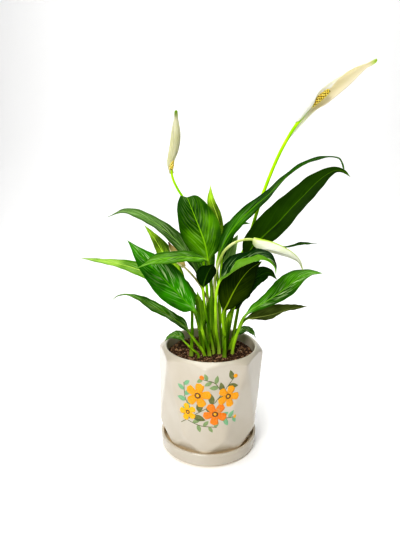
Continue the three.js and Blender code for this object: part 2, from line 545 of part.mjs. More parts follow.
// Soil fills the pot to below its lip and is heaped a little, with an uneven top.
function soilGeometry() {
  const random = seededRandom(SOIL_SEED);
  const wall = [
    [0, POT_INNER_FLOOR + GAP], [POT_INNER_FLOOR_RADIUS - 3.6, POT_INNER_FLOOR + GAP],
    [POT_INNER_FLOOR_RADIUS - SOIL_CLEARANCE, POT_INNER_FLOOR + 2.8],
    [POT_INNER_WAIST - SOIL_CLEARANCE, WAIST_HEIGHT], [MOUTH_RADIUS - 0.6 - SOIL_CLEARANCE, SOIL_EDGE - 1],
  ];
  const mouth = MOUTH_RADIUS - 0.6 - SOIL_CLEARANCE;
  const top = Array.from({ length: SOIL_RINGS }, (_, i) => {
    const share = 1 - i / SOIL_RINGS;
    return [mouth * share, SOIL_EDGE + SOIL_MOUND * (1 - share * share)];
  });
  const geometry = turned([...wall, ...top, [0, SOIL_EDGE + SOIL_MOUND]], SOIL_SIDES);
  const p = geometry.attributes.position;
  for (let i = 0; i < p.count; i++) {
    const radius = Math.hypot(p.getX(i), p.getY(i));
    const isTop = p.getZ(i) > SOIL_EDGE - 0.5;
    if (isTop) p.setZ(i, p.getZ(i) + SOIL_LUMPS * (2 * random() - 1) * (radius > mouth - 1 ? 0.4 : 1));
  }
  const holes = [...LEAVES, STUMP, ...BLOOMS].map(footHole);
  const body = holes.reduce((soil, hole) => soil.subtract(toSolid(hole)), toSolid(geometry));
  return fromSolid(body);
}

// ---- Materials and assembly -----------------------------------------------------------------
const finish = (color, roughness) => new THREE.MeshStandardMaterial({ color, roughness, metalness: 0 });
const glaze = () => finish('#efe8da', 0.18);
const soilEarth = () => finish('#4a362b', 0.95);
const leafGreen = () => finish('#2f6a22', 0.35);
const stalkGreen = () => finish('#8fb83a', 0.45);
const spatheCream = () => finish('#f2ecd2', 0.5);
const spadixYellow = () => finish('#d9c257', 0.7);
const wiltedTan = () => finish('#b08a5c', 0.8);

const plant = new THREE.Group();

function addPiece(name, geometry, material) {
  geometry.computeVertexNormals();
  const mesh = new THREE.Mesh(geometry, material);
  mesh.name = name;
  plant.add(mesh);
}

function addBloom(bloom) {
  const wilted = bloom.spadix === null;
  const stalk = stalkGeometry(bloom, BLOOM_STALK_STATIONS);
  addPiece(`${bloom.name}_stalk`, stalk, wilted ? wiltedTan() : stalkGreen());
  addPiece(`${bloom.name}_spathe`, spatheGeometry(bloom), wilted ? wiltedTan() : spatheCream());
  if (!wilted) addPiece(`${bloom.name}_spadix`, spadixGeometry(bloom), spadixYellow());
}

addPiece('saucer', saucerGeometry(), glaze());
addPiece('pot', potGeometry(), glaze());
addPiece('soil', soilGeometry(), soilEarth());
LEAVES.forEach((leaf) => addPiece(leaf.name, leafGeometry(leaf), leafGreen()));
addPiece(STUMP.name, stalkGeometry(STUMP, STUMP_STATIONS), stalkGreen());
BLOOMS.forEach(addBloom);

export default plant;
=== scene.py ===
"""A potted peace lily: glazed faceted pot and saucer, soil, leaves and blooms, with its studio."""

import math
import random

import bmesh
import bpy
import numpy as np
from mathutils import Euler, Matrix, Vector, noise


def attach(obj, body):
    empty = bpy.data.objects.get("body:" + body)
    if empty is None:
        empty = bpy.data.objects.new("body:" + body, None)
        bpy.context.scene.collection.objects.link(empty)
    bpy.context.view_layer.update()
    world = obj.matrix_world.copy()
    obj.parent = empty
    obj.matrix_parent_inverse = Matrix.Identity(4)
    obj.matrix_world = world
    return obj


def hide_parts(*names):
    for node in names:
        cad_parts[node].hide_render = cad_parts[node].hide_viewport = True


bl_info = {
    "name": "Potted peace lily",
    "version": (1, 0, 0),
    "blender": (4, 5, 0),
    "location": "3D View > Sidebar > Peace lily",
    "description": "Builds the finished look of a peace lily in a faceted glazed pot",
    "category": "Object",
}

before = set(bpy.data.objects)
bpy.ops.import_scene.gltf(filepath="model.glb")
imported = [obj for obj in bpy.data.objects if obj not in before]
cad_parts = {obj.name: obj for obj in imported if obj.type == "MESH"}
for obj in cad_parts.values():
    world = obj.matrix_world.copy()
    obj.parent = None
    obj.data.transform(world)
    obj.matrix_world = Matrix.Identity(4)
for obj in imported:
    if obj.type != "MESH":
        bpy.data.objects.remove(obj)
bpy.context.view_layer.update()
MM = 0.001

# ---- Sizes of the pot, in millimetres, as in the part ------------------------------------------
SAUCER_RADIUS = 56.3
SAUCER_HEIGHT = 16.6
SAUCER_INNER_RADIUS = 52.6
SAUCER_FLOOR = 4.6
SAUCER_BASE_RADIUS = 49.0
POT_FOOT = 4.9                   # height of the pot's underside
POT_TOP = 122.4
FACET_SIDES = 8
SHOULDER_RADIUS = 60.5           # corners of the upper octagon
SHOULDER_HEIGHT = 116.5
WAIST_RADIUS = 58.2              # corners of the lower octagon, half a side round
WAIST_HEIGHT = 35.6
SHIELD_TIP_HEIGHT = 13.0         # where a tall facet ends in its lower point
SHOULDER_TURN = -3.0             # degrees from the front to the nearest shoulder corner
FOOT_RADIUS = 46.5
LIP_RADIUS = 52.6
MOUTH_RADIUS = 50.0
POT_INNER_WAIST = 47.2
POT_INNER_FLOOR = 11.5
POT_INNER_FLOOR_RADIUS = 39.0
DRAIN_RADIUS = 5.5
SOIL_EDGE = 111.0
SOIL_MOUND = 3.2
SOIL_RADIUS = 49.0
SOIL_BOTTOM = 11.8
ABOVE_SOIL = 117.0               # height at which a stalk starts to bend
ROOTED_DEPTH = 9.0               # length of stalk below that

# ---- The plant: the same leaves and blooms as in the part, in millimetres ----------------------
# The tails, and the end of the right bloom's stalk, are this script's own.
# root: where the stalk stands. bend: points that it passes. stalk: its radius at foot and collar.
# rib: the midrib, collar to tip. face: where the upper side looks, at the collar and at the tip.
# width and widest: the blade's greatest width, and the share of its length at which it lies.
# fold: degrees by which each half rises from the midrib. wave: height of the edge's waves. tail:
# half width that is kept to near the tip. look: one of LEAF_LOOKS.
LEAF_DEFAULTS = dict(bend=[], stalk=(2, 1.4), widest=0.42, fold=12, wave=1.3, tail=0.15)
EDGE_WAVES = 2                   # along each edge

LEAVES = [
    dict(name="leaf_upper_left", root=(-8, 5), bend=[(-8, 6, 155)], width=20, fold=10, widest=0.5,
         tail=1.3, look="sage",
         rib=[(-13, 8, 192), (-23, 9, 214), (-34, 11, 230), (-47, 13, 243), (-61, 14, 254),
              (-74, 12, 262), (-87, 9, 268), (-100, 6, 270), (-116, 1, 264)],
         face=[(0.6, -0.6, 0.5), (-0.2, -0.5, 1)]),
    dict(name="leaf_centre_upright", root=(3, 1), bend=[(2, -1, 165)], width=46, fold=14, widest=0.4,
         stalk=(2.6, 1.8), look="sunlit",
         rib=[(-5, -4, 217), (-9, 0, 237), (-17, 8, 256), (-26, 17, 275), (-32, 29, 286),
              (-33, 44, 282)],
         face=[(0, -1, 0.1), (0, -0.1, 1)]),
    dict(name="leaf_left_glossy", root=(-1, -16), bend=[(-9, -17, 142)], width=37, fold=8,
         stalk=(2.2, 1.5), look="glossy",
         rib=[(-16, -18, 164), (-31, -24, 182), (-49, -30, 203), (-68, -36, 224), (-85, -42, 246)],
         face=[(0.4, -0.75, 0.5), (0.2, -0.8, 0.6)]),
    dict(name="leaf_left_crossing", root=(4, -5), bend=[(0, -9, 170)], width=22, fold=6, look="fresh",
         rib=[(-5, -16, 221), (-21, -26, 227), (-41, -38, 229), (-57, -50, 227), (-74, -60, 221)],
         face=[(0, -0.5, 0.9), (0, -0.5, 0.9)]),
    dict(name="leaf_far_left", root=(-21, -16), bend=[(-21, -12, 145)], width=18, look="lime",
         rib=[(-25, -5, 174), (-48, 0, 191), (-76, 4, 203), (-102, 6, 210), (-127, 6, 214),
              (-149, 4, 217)],
         face=[(0.3, -0.6, 0.8), (0, -0.6, 0.8)]),
    dict(name="leaf_left_young", root=(-12, 13), bend=[(-18, 20, 145)], width=24, fold=30, look="young",
         rib=[(-34, 26, 177), (-47, 30, 199), (-61, 34, 221), (-73, 36, 240), (-83, 38, 252)],
         face=[(0.5, -0.8, 0.3), (0.5, -0.8, 0.3)]),
    dict(name="leaf_lower_left", root=(-6, -21), bend=[(-13, -21, 128)], width=17, widest=0.3,
         look="lowly",
         rib=[(-23, -20, 141), (-29, -22, 150), (-39, -25, 158), (-50, -28, 167), (-63, -32, 175),
              (-76, -37, 184), (-88, -40, 189), (-96, -43, 188), (-102, -45, 183)],
         face=[(0.4, -0.4, 0.8), (-0.2, -0.4, 1)]),
    dict(name="leaf_left_rim", root=(-13, -22), bend=[(-21, -21, 124)], width=13, wave=0.6,
         stalk=(1.6, 1.1), look="lowly",
         rib=[(-29, -17, 130), (-36, -13, 135), (-43, -10, 134), (-49, -8, 130), (-52, -8, 126)],
         face=[(0.2, -0.3, 1), (-0.8, -0.3, 0.6)]),
    dict(name="leaf_right_rim", root=(21, 7), width=12, wave=0.8, stalk=(1.8, 1.2), look="lowly",
         rib=[(27, 10, 128), (34, 13, 133), (41, 14, 135), (49, 13, 131), (53, 11, 125)],
         face=[(-0.2, -0.3, 1), (0.9, -0.3, 0.6)]),
    dict(name="leaf_right_glossy", root=(25, -9), bend=[(29, -9, 136)], width=26, widest=0.58,
         look="bright",
         rib=[(36, -9, 157), (46, -12, 169), (56, -14, 176), (69, -17, 186), (80, -21, 197),
              (90, -23, 207), (103, -25, 214), (116, -27, 215)],
         face=[(-0.4, -0.7, 0.6), (-0.2, -0.6, 0.8)]),
    dict(name="leaf_right_under", root=(22, 0), bend=[(30, -1, 136)], width=25, look="dusky",
         rib=[(38, -3, 153), (51, -3, 157), (68, -1, 160), (89, 3, 166), (109, 6, 168)],
         face=[(-0.1, 0.85, 0.5), (-0.1, 0.7, 0.7)]),
    dict(name="leaf_upper_right_broad", root=(18, 14), bend=[(24, 13, 165)], width=39, fold=10,
         widest=0.4, stalk=(2.4, 1.7), look="deep",
         rib=[(33, 9, 215), (44, 8, 237), (56, 5, 250), (69, 1, 264), (81, -6, 280), (93, -14, 295),
              (103, -22, 308), (112, -30, 317), (119, -35, 321), (126, -39, 320), (132, -42, 315)],
         face=[(-0.35, 0.9, 0.3), (-0.3, 0.8, 0.5)]),
    dict(name="leaf_upper_right_narrow", root=(10, 2), bend=[(9, -1, 170)], width=17, fold=14,
         widest=0.32, tail=2.3, look="deep",
         rib=[(5, -9, 219), (9, -11, 234), (16, -9, 249), (27, -5, 264), (42, 0, 279), (58, 5, 293),
              (74, 8, 310), (91, 6, 324), (107, 4, 332), (121, 1, 335), (129, -6, 333), (132, -8, 328),
              (134, -10, 321)],
         face=[(-0.4, -0.8, 0.4), (-0.2, 0.05, 1)]),
    dict(name="leaf_new_rolled", root=(6, 9), bend=[(8, 14, 180)], width=16, fold=35, wave=0.3,
         stalk=(1.6, 1.3), look="young",
         rib=[(9, 24, 243), (3, 27, 266), (-4, 30, 284), (-6, 32, 301)],
         face=[(-0.3, -0.9, 0), (-0.3, -0.9, 0)]),
    dict(name="leaf_back_right", root=(8, 17), bend=[(8, 22, 165)], width=22, look="deep",
         rib=[(10, 28, 213), (13, 32, 238), (22, 38, 256), (42, 44, 257)],
         face=[(-0.6, -0.5, 0.6), (0, -0.5, 0.85)]),
    # Its pale look is painted light: near white green for a leaf that stands in shadow
    dict(name="leaf_back_small", root=(14, 22), bend=[(16, 27, 160)], width=17, wave=0.6,
         stalk=(1.6, 1.1), look="pale",
         rib=[(15, 34, 205), (20, 37, 226), (28, 40, 244)],
         face=[(-0.3, -0.8, 0.5), (-0.3, -0.8, 0.5)]),
    dict(name="leaf_back_right_thin", root=(26, 24), bend=[(32, 23, 165)], width=10, fold=8,
         tail=1.2, look="shade",
         rib=[(40, 16, 206), (46, 17, 221), (56, 20, 230), (71, 24, 232), (89, 29, 233),
              (104, 34, 236), (122, 40, 236)],
         face=[(0, -0.2, 1), (0, -0.2, 1)]),
    dict(name="leaf_front_arching", root=(10, -12), bend=[(5, -17, 155)], width=30, fold=44,
         look="two_tone",
         rib=[(8, -26, 202), (18, -32, 213), (29, -38, 222), (39, -44, 228), (49, -48, 232),
              (56, -51, 231), (62, -54, 226), (64, -56, 217)],
         face=[(-0.3, -0.55, 0.8), (0.9, -0.15, 0.5)]),
    dict(name="leaf_centre_underside", root=(16, -20), bend=[(15, -17, 140)], width=37, fold=8,
         widest=0.5, stalk=(2.2, 1.7), look="olive",
         rib=[(13, -17, 164), (18, -18, 177), (24, -19, 191), (31, -20, 204), (40, -22, 216),
              (52, -24, 225)],
         face=[(0, 1, 0.1), (-0.2, 0.9, 0.3)]),
    dict(name="leaf_right_behind", root=(17, -6), bend=[(20, -2, 150)], width=25, look="shade",
         rib=[(29, -1, 176), (39, 0, 191), (52, 2, 203), (63, 3, 207), (72, 0, 200)],
         face=[(-0.3, -0.6, 0.7), (-0.1, -0.6, 0.8)]),
    dict(name="leaf_right_torn", root=(16, 1), bend=[(17, 4, 140)], width=13, look="shade",
         rib=[(20, 6, 157), (32, 9, 168), (46, 12, 182)],
         face=[(-0.5, 0.7, 0.5), (-0.5, 0.7, 0.5)]),
    dict(name="leaf_front_round", root=(4, -12), bend=[(-3, -17, 150)], width=22, fold=16, wave=0.6,
         widest=0.5, stalk=(1.7, 1.2), look="shade",
         rib=[(-9, -24, 194), (-7, -28, 205), (-3, -33, 216), (2, -38, 224)],
         face=[(-0.2, 0.8, 0.5), (-0.2, 0.8, 0.5)]),
    dict(name="leaf_olive_left", root=(-9, -5), width=13, fold=20, wave=0.6, stalk=(1.6, 1.2),
         look="inner",
         rib=[(-10, -1, 139), (-13, 1, 161), (-17, 3, 183)],
         face=[(0.3, -0.8, 0.3), (0.3, -0.8, 0.3)]),
    dict(name="leaf_olive_right", root=(-3, -2), width=12, fold=20, wave=0.6, stalk=(1.6, 1.2),
         look="inner",
         rib=[(-1, 4, 134), (-2, 7, 156), (-3, 10, 176)],
         face=[(0.2, -0.9, 0.3), (0.2, -0.9, 0.3)]),
    dict(name="leaf_back_upright", root=(0, 21), bend=[(-3, 28, 150)], width=30, look="fresh",
         rib=[(-8, 36, 180), (-12, 44, 205), (-16, 57, 230), (-18, 72, 245), (-18, 92, 250)],
         face=[(0, -1, 0.4), (0, -0.2, 1)]),
    dict(name="leaf_back_leaning", root=(19, 21), bend=[(24, 27, 150)], width=28, look="glossy",
         rib=[(30, 32, 180), (43, 42, 208), (54, 56, 228), (67, 73, 240), (80, 90, 238)],
         face=[(-0.5, -0.5, 0.7), (0, -0.2, 1)]),
    dict(name="leaf_back_low", root=(-8, 20), bend=[(-11, 26, 138)], width=24, look="fresh",
         rib=[(-16, 34, 152), (-32, 46, 170), (-48, 58, 180), (-64, 72, 181), (-76, 82, 174)],
         face=[(0.3, -0.2, 0.9), (0, 0, 1)]),
]

# clasp: length of stalk inside the hood. path: the back of the hood, from beyond the clasp to its
# tip. roll: degrees between the middle and an edge of the hood, low down and at the tip. stem and
# skin: finishes of the stalk and the hood. spadix: the end and the radius of the flower spike.
BLOOMS = [
    dict(name="bloom_right", root=(14, 8), stalk=(2, 1.7), clasp=22, stem="fresh", skin="cream",
         bend=[(17, 18, 181), (39, 22, 240), (53, 22, 291), (70, 22, 338), (84, 22, 365),
               (91, 21.5, 375), (99.5, 18.5, 387.5)],
         path=[(99, 23, 391), (116, 18, 408), (138, 13, 422), (163, 8, 433)],
         width=24, roll=(80, 50), face=[(0.5, -0.7, -0.4), (0.4, -0.6, -0.6)], widest=0.45,
         spadix=dict(to=(117, 11, 403), radius=2.6)),
    dict(name="bloom_left", root=(-4, 15), stalk=(1.8, 1.3), clasp=4, stem="fresh", skin="bud",
         bend=[(-8, 24, 190), (-22, 37, 250), (-36, 40, 282), (-44, 38, 295), (-49, 35, 306),
               (-51, 33, 316)],
         path=[(-54, 35.5, 323), (-52.5, 37, 331), (-50, 38.5, 340), (-47.5, 39, 351), (-46, 38, 362),
               (-45.6, 35, 373), (-45.6, 33.3, 381)],
         width=31, roll=(150, 160), face=[(0.75, -0.65, 0), (-0.3, -0.95, 0)], widest=0.55,
         spadix=dict(to=(-49, 33, 338), radius=2)),
    dict(name="bloom_drooping", root=(10, -5), stalk=(1.9, 1.4), clasp=4, stem="pale", skin="white",
         bend=[(6, -8, 160), (3, -12, 200), (7, -16, 221), (12, -18, 233), (18, -20, 240),
               (28, -22, 246), (38, -24, 248), (46, -25, 247)],
         path=[(59, -29, 247), (71, -33, 243), (82, -37, 237), (89, -40, 230), (92, -42, 221)],
         width=27, roll=(85, 70), face=[(0.2, -0.25, -0.9), (-0.6, -0.2, -0.7)], widest=0.28,
         spadix=dict(to=(59, -28, 239.5), radius=2)),
    dict(name="bloom_wilted", root=(-1, 7), stalk=(1.5, 1.1), clasp=3, stem="dry", skin="wilted",
         bend=[(1, 12, 150), (-12, 15, 183), (-25, 18, 199), (-36, 20, 209)],
         path=[(-43, 22, 217), (-49, 22, 227), (-52, 23, 235)],
         width=14, roll=(110, 100), face=[(0.4, -0.8, 0.3), (0.4, -0.8, 0.3)], widest=0.4,
         spadix=None),
]
CLASP_ROLL = 100                 # degrees of roll that take the hood round its stalk
CLASP_GAP = 0.3                  # between the stalk and what clasps it or stands on its end
SPATHE_THICKNESS = 0.7

# How the finished hoods differ from their plain form. foot_roll: more degrees of roll at the foot,
# let go between the two shares of opens. more_roll: the same along all of it. lap: how far one edge
# passes over the other. knob: half width kept up to the rounded tip. flap: how far one edge hangs
# down beside the stalk.
HOOD_DEFAULTS = dict(foot_roll=40, opens=(0.06, 0.3), more_roll=0, lap=0.0, knob=0.8, flap=0)
HOODS = {
    "bloom_right": dict(foot_roll=70, opens=(0.2, 0.4), lap=0.1, knob=3.4, flap=24),
    "bloom_left": dict(foot_roll=50, more_roll=48, lap=0.1, knob=5.5),
    "bloom_drooping": dict(),
    "bloom_wilted": dict(lap=0.05),
}

STUMP = dict(name="cut_stalk", root=(-7, -15), stalk=(2.1, 2.5),
             bend=[(-9, -13.5, 129), (-11.5, -12.5, 142)])
STUMP_FLARE = 0.3
STALK_FACE = (0, -1, 0.2)        # where the upper side of a stalk looks at its foot
STALK_GROOVE = 0.3               # depth of a leaf stalk's groove, as a share of its radius

# Pairs of side veins on a leaf, and how far, as a share of its length, and how sharply they sweep
# towards the tip.
VEINS = 14
VEIN_SWEEP = 0.42
VEIN_BEND = 1.2
HOOD_VEINS = 9                   # on each side of a hood's middle
HOOD_WAVES = 9                   # radians of waving from a hood's foot to its tip

# How finely the plant is drawn: rows along a piece, and marks over one side of its section.
LEAF_STALK_ROWS = 18
BLADE_ROW_SPACING = 1.4
BLADE_ROWS = (45, 120)           # the fewest and the most
BROAD_BLADE = 15                 # a blade wider than this has the more marks
BLADE_MARKS = 32
SLIM_BLADE_MARKS = 20
STEM_ROWS = 110
STUMP_ROWS = 24
STEM_MARKS = 12
HOOD_ROWS = 110
HOOD_MARKS = 36
SPIKE_ROWS = 40
SPIKE_MARKS = 28                 # all round

# The flower spike's florets, in millimetres.
FLORET_RADIUS = 1.05             # on a spike of the usual length
USUAL_SPIKE_LENGTH = 18
FLORET_FLATNESS = 0.75
FLORET_STANDS_OUT = 0.05

# ---- Finishes ----------------------------------------------------------------------------------
# Colours are #rrggbb names, the dark one and the light one where there are two.
GLAZE_SPECK = "#c9b793"
# Painted light: the paler glaze in the gap between the pot's foot and the saucer
GAP_PAINTED_LIGHT = "#fff0d4"
# The gap between the pot's foot and the saucer: the heights, and the distances from the axis,
# between which the glaze is painted paler as light falling in the gap, in metres.
GAP_HEIGHTS = (0.021, 0.012)
GAP_REACHES = (0.0548, 0.0532)
INKS = dict(amber="#f0a400", orange="#ec8412", gold="#f8b800", brown="#6b4420", teal="#7cb48c",
            olive="#6a7444", sage="#86a070", stem="#566040")
WORN_INK = "#e7d3a0"
PEAT = ("#22130a", "#7a583e")
BARK = ("#7c5a3c", "#c09c7e")
GRIT = ("#a8967c", "#ddd2bc")
LEAF_STALK = ("#447200", "#b4e034")
LEAF_STALK_FOOT = ("#7c9c28", "#bcd068")
# Painted highlight: the pale colour of the wax's shine on a leaf
PAINTED_LEAF_SHEEN = "#d4ecb4"
STEM_FOOT = "#d3dca0"
FLORET = ("#e8c838", "#fff08c")
# Painted shade in the gaps between florets and low on each one
PAINTED_FLORET_SHADE = "#5c4008"
FLORET_EYE = "#7a5a1a"

# name, dark, light, and how much rougher than a fresh stem
STEM_LOOKS = {
    "fresh": ("bloom_stalk_green", "#9cdc00", "#c4f400", 0.0),
    "dry": ("wilted_stalk_tan", "#9a9a54", "#d0c898", 0.2),
    "pale": ("drooping_stalk_pale", "#a8bc58", "#dce0a8", 0.0),
    "stump": ("stump_green", "#4a7000", "#7ea41c", 0.0),
}

# inner and outer: the hood's two faces. rib: its veins and its middle. tip and tip_start: colour of
# the tip and the share of the length where it starts. painted_shade and painted_shade_from: colour of
# the shade painted over one half of the hood and towards its tip, and where, between the middle at 0
# and the edge at 1, it starts. back: a strip down the outside.
SPATHE_LOOKS = {
    "cream": dict(inner="#fffdf4", outer="#f8f6e8", rib="#ecebc0", tip="#8cbc10", tip_start=0.9,
                  painted_shade="#dac69c", painted_shade_from=0.2),
    "bud": dict(inner="#dcd8a4", outer="#dedab0", rib="#c4c668", tip="#6f9a08", tip_start=0.86),
    "white": dict(inner="#d0d0c4", outer="#d4d6c8", rib="#bcc870", tip="#a8bc48", tip_start=0.82,
                  back="#a4c430"),
    "wilted": dict(inner="#c0a878", outer="#ece4b4", rib="#c4bc78", tip="#7c5a34", tip_start=0.6),
}

# dark and light green of the upper side, its veins, the same three of the under side, roughness,
# how much coat and painted highlight, in pale streaks between the veins, and on which side of the
# midrib the highlight lies (0 is both), where along the blade painted shade starts to darken it,
# and by how much at the tip
LEAF_LOOKS = {
    "sunlit": ("#124000", "#588c00", "#84b41c", "#527c08", "#7ca420", "#98c040", 0.4, 0.1, 0, 0.5, 0.85),
    "glossy": ("#205c00", "#46a000", "#68b41c", "#4c8010", "#74a430", "#94bc50", 0.24, 1.0, 1, 0.9, 0.3),
    "bright": ("#1c4c00", "#4f9008", "#78b038", "#4c8010", "#74a430", "#94bc50", 0.26, 0.8, 1, 0.95, 0.2),
    "fresh": ("#1e4c00", "#568c0c", "#7cb030", "#50801c", "#78a438", "#98c058", 0.34, 0.3, 0, 0.95, 0.1),
    "lime": ("#4c8004", "#98bc4c", "#b4d068", "#608814", "#94b444", "#b8d068", 0.38, 0.3, 0, 0.95, 0.1),
    "young": ("#3c5c04", "#b4e034", "#d0ec68", "#547810", "#90b434", "#b4d068", 0.4, 0.1, 0, 0.95, 0.1),
    "sage": ("#2c4c14", "#587e38", "#84a858", "#507038", "#789850", "#98b070", 0.34, 0.4, 0, 0.85, 0.8),
    # pale: painted near white on both sides, as light for a leaf that stands in shadow
    "pale": ("#b0d488", "#d8f0a8", "#e4f8bc", "#b0d488", "#d8f0a8", "#e4f8bc", 0.4, 0.1, 0, 0.95, 0.1),
    "lowly": ("#1c4c00", "#407800", "#749830", "#304c08", "#5c7c20", "#889c48", 0.28, 0.6, 0, 0.95, 0.0),
    "inner": ("#3c6400", "#7ca818", "#98c434", "#3c6400", "#7ca018", "#98bc34", 0.36, 0.1, 0, 0.95, 0.2),
    "deep": ("#0c3400", "#346c00", "#5c9010", "#244200", "#3a6000", "#649000", 0.36, 0.12, 0, 0.5, 0.7),
    "olive": ("#14360a", "#2a5206", "#4f7d14", "#162c00", "#445600", "#8ca824", 0.44, 0.0, 0, 0.8, 0.3),
    "shade": ("#0c2c00", "#245000", "#44700c", "#0c2800", "#1e4200", "#44680c", 0.4, 0.05, 0, 0.9, 0.2),
    "dusky": ("#20400a", "#3a5c18", "#5c7c2c", "#34420e", "#70803e", "#94a058", 0.42, 0.0, 0, 0.7, 0.6),
    # two_tone: the under side, paler in life, is painted far lighter as a lit fold, and the upper side near
    # black as a shaded hollow
    "two_tone": ("#042000", "#104000", "#34740c", "#70a820", "#98cc50", "#bce078", 0.2, 0.5, 0, 0.9, 0.2),
}

# ---- The camera of the photograph, in pixels, millimetres and degrees --------------------------
PICTURE_HEIGHT = 533
PICTURE_CENTRE = (200.0, 266.5)
AXIS_PIXEL = (224.0, 263.0)      # where the camera's axis meets the picture
FOCAL_PIXELS = 438.9
CAMERA_PLACE = (12.31, -476.28, 316.45)
CAMERA_PITCH = 11.79             # downwards
CAMERA_ROLL = 1.76
SENSOR = 36.0


# ---- Small helpers -----------------------------------------------------------------------------
def linear(hex_colour):
    """The linear colour, with alpha, of a #rrggbb name."""
    parts = [int(hex_colour[i:i + 2], 16) / 255 for i in (1, 3, 5)]
    return (*[p / 12.92 if p <= 0.04045 else ((p + 0.055) / 1.055) ** 2.4 for p in parts], 1.0)


def smooth(low, high, value):
    """A smooth step from 0 to 1 as a value goes from low to high."""
    share = np.clip((value - low) / (high - low), 0.0, 1.0)
    return share * share * (3 - 2 * share)


def mix(a, b, share):
    """What lies at a share of the way from a to b."""
    return a + (b - a) * share


def unit(v):
    """A direction made 1 long."""
    return v / np.linalg.norm(v)


class Path:
    """A smooth curve through points, measured along its length."""

    STEPS = 24              # samples on a span
    NEAR = 0.001            # spans to each side from which a direction is taken

    def __init__(self, points):
        self.points = [np.array(p, float) for p in points]
        self.spans = len(self.points) - 1
        marks = np.linspace(0, self.spans, self.spans * self.STEPS + 1)
        samples = [self._place(t) for t in marks]
        gaps = [np.linalg.norm(b - a) for a, b in zip(samples, samples[1:])]
        self.marks = marks
        self.lengths = np.concatenate([[0.0], np.cumsum(gaps)])
        self.length = self.lengths[-1]

    def _place(self, t):
        """The place t spans along, on a cubic that runs smoothly on from point to point."""
        span = min(int(t), self.spans - 1)
        p1, p2 = self.points[span], self.points[span + 1]
        p0 = self.points[span - 1] if span > 0 else 2 * p1 - p2
        p3 = self.points[span + 2] if span + 2 <= self.spans else 2 * p2 - p1
        d0, d1, d2 = (np.linalg.norm(b - a) ** 0.5 for a, b in ((p0, p1), (p1, p2), (p2, p3)))
        start = ((p1 - p0) / d0 - (p2 - p0) / (d0 + d1) + (p2 - p1) / d1) * d1
        end = ((p2 - p1) / d1 - (p3 - p1) / (d1 + d2) + (p3 - p2) / d2) * d1
        f = t - span
        cubic = 2 * p1 - 2 * p2 + start + end
        square = -3 * p1 + 3 * p2 - 2 * start - end
        return p1 + start * f + square * f * f + cubic * f ** 3

    def share_of(self, index):
        """How far along the curve, as a share of its length, one of its points lies."""
        return self.lengths[index * self.STEPS] / self.length

    def at(self, share):
        """The place and the direction at a share of the length."""
        t = np.interp(share * self.length, self.lengths, self.marks)
        before = self._place(max(t - self.NEAR, 0))
        after = self._place(min(t + self.NEAR, self.spans))
        return self._place(t), unit(after - before)


def cut(place, along, face):
    """A cut across a stalk or blade: its place, the way across it and the way to its face."""
    face = np.array(face, float)
    normal = unit(face - along * np.dot(face, along))
    return place, np.cross(along, normal), normal


def grown_path(plant):
    """A stalk's path from inside the soil up, and on along a leaf's midrib."""
    x, y = plant["root"]
    foot = [(x, y, ABOVE_SOIL - ROOTED_DEPTH), (x, y, ABOVE_SOIL)]
    return Path([*foot, *plant["bend"], *plant.get("rib", [])])


def around_marks(per_side):
    """Marks from -1 to 1 over the upper side and back over the lower, and which side each is on."""
    over = -1 + 2 * np.arange(per_side) / per_side
    return np.concatenate([over, -over]), np.concatenate([np.ones(per_side), -np.ones(per_side)])


# Points that lie closer than this, in metres, are merged.
SEAM_GAP = 1e-8                  # along the seam of a skin
POLE_GAP = 1e-6                  # on the axis of a turned body


def skin_rings(rings, values):
    """A closed solid through rows of points, with a named value on every point."""
    rows, around = len(rings), len(rings[0])
    bm = bmesh.new()
    layers = {name: bm.verts.layers.float.new(name) for name in values}
    bmesh.ops.create_grid(bm, x_segments=around, y_segments=rows - 1, size=1)
    for vert in bm.verts:
        i = round((vert.co.x + 1) / 2 * around) % around
        j = round((vert.co.y + 1) / 2 * (rows - 1))
        vert.co = Vector(rings[j][i]) * MM
        for name, layer in layers.items():
            vert[layer] = float(values[name][j][i])
    bmesh.ops.remove_doubles(bm, verts=bm.verts, dist=SEAM_GAP)
    ends = [e for e in bm.edges if e.is_boundary]
    bmesh.ops.holes_fill(bm, edges=ends, sides=0)
    bmesh.ops.recalc_face_normals(bm, faces=bm.faces)
    return bm


def finish_piece(name, bm, material, slot, *nodes):
    """Turns a bmesh into a piece that rides on the part, and stands for CAD nodes if it names any."""
    mesh = bpy.data.meshes.new(name)
    bm.to_mesh(mesh)
    bm.free()
    mesh.shade_smooth()
    mesh.materials.append(material)
    piece = bpy.data.objects.new(name, mesh)
    bpy.context.scene.collection.objects.link(piece)
    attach(piece, "root")
    if nodes:
        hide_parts(*nodes)
    return piece


MOST_OF_AN_EDGE = 0.48           # that the rounding of one of its corners may take


def rounded(corners, segments):
    """A profile of (radius, height, rounding) corners as points, with an arc at each rounded one."""
    points = []
    for i, (r, z, rounding) in enumerate(corners):
        here = Vector((r, z))
        if not rounding:
            points.append(here)
            continue
        before = Vector(corners[i - 1][:2]) - here
        after = Vector(corners[(i + 1) % len(corners)][:2]) - here
        half = before.angle(after) / 2
        most = MOST_OF_AN_EDGE * min(before.length, after.length)
        reach = min(rounding / math.tan(half), most)
        start = here + before.normalized() * reach
        end = here + after.normalized() * reach
        for k in range(segments + 1):
            t = k / segments
            points.append(start * (1 - t) ** 2 + here * 2 * t * (1 - t) + end * t * t)
    return points


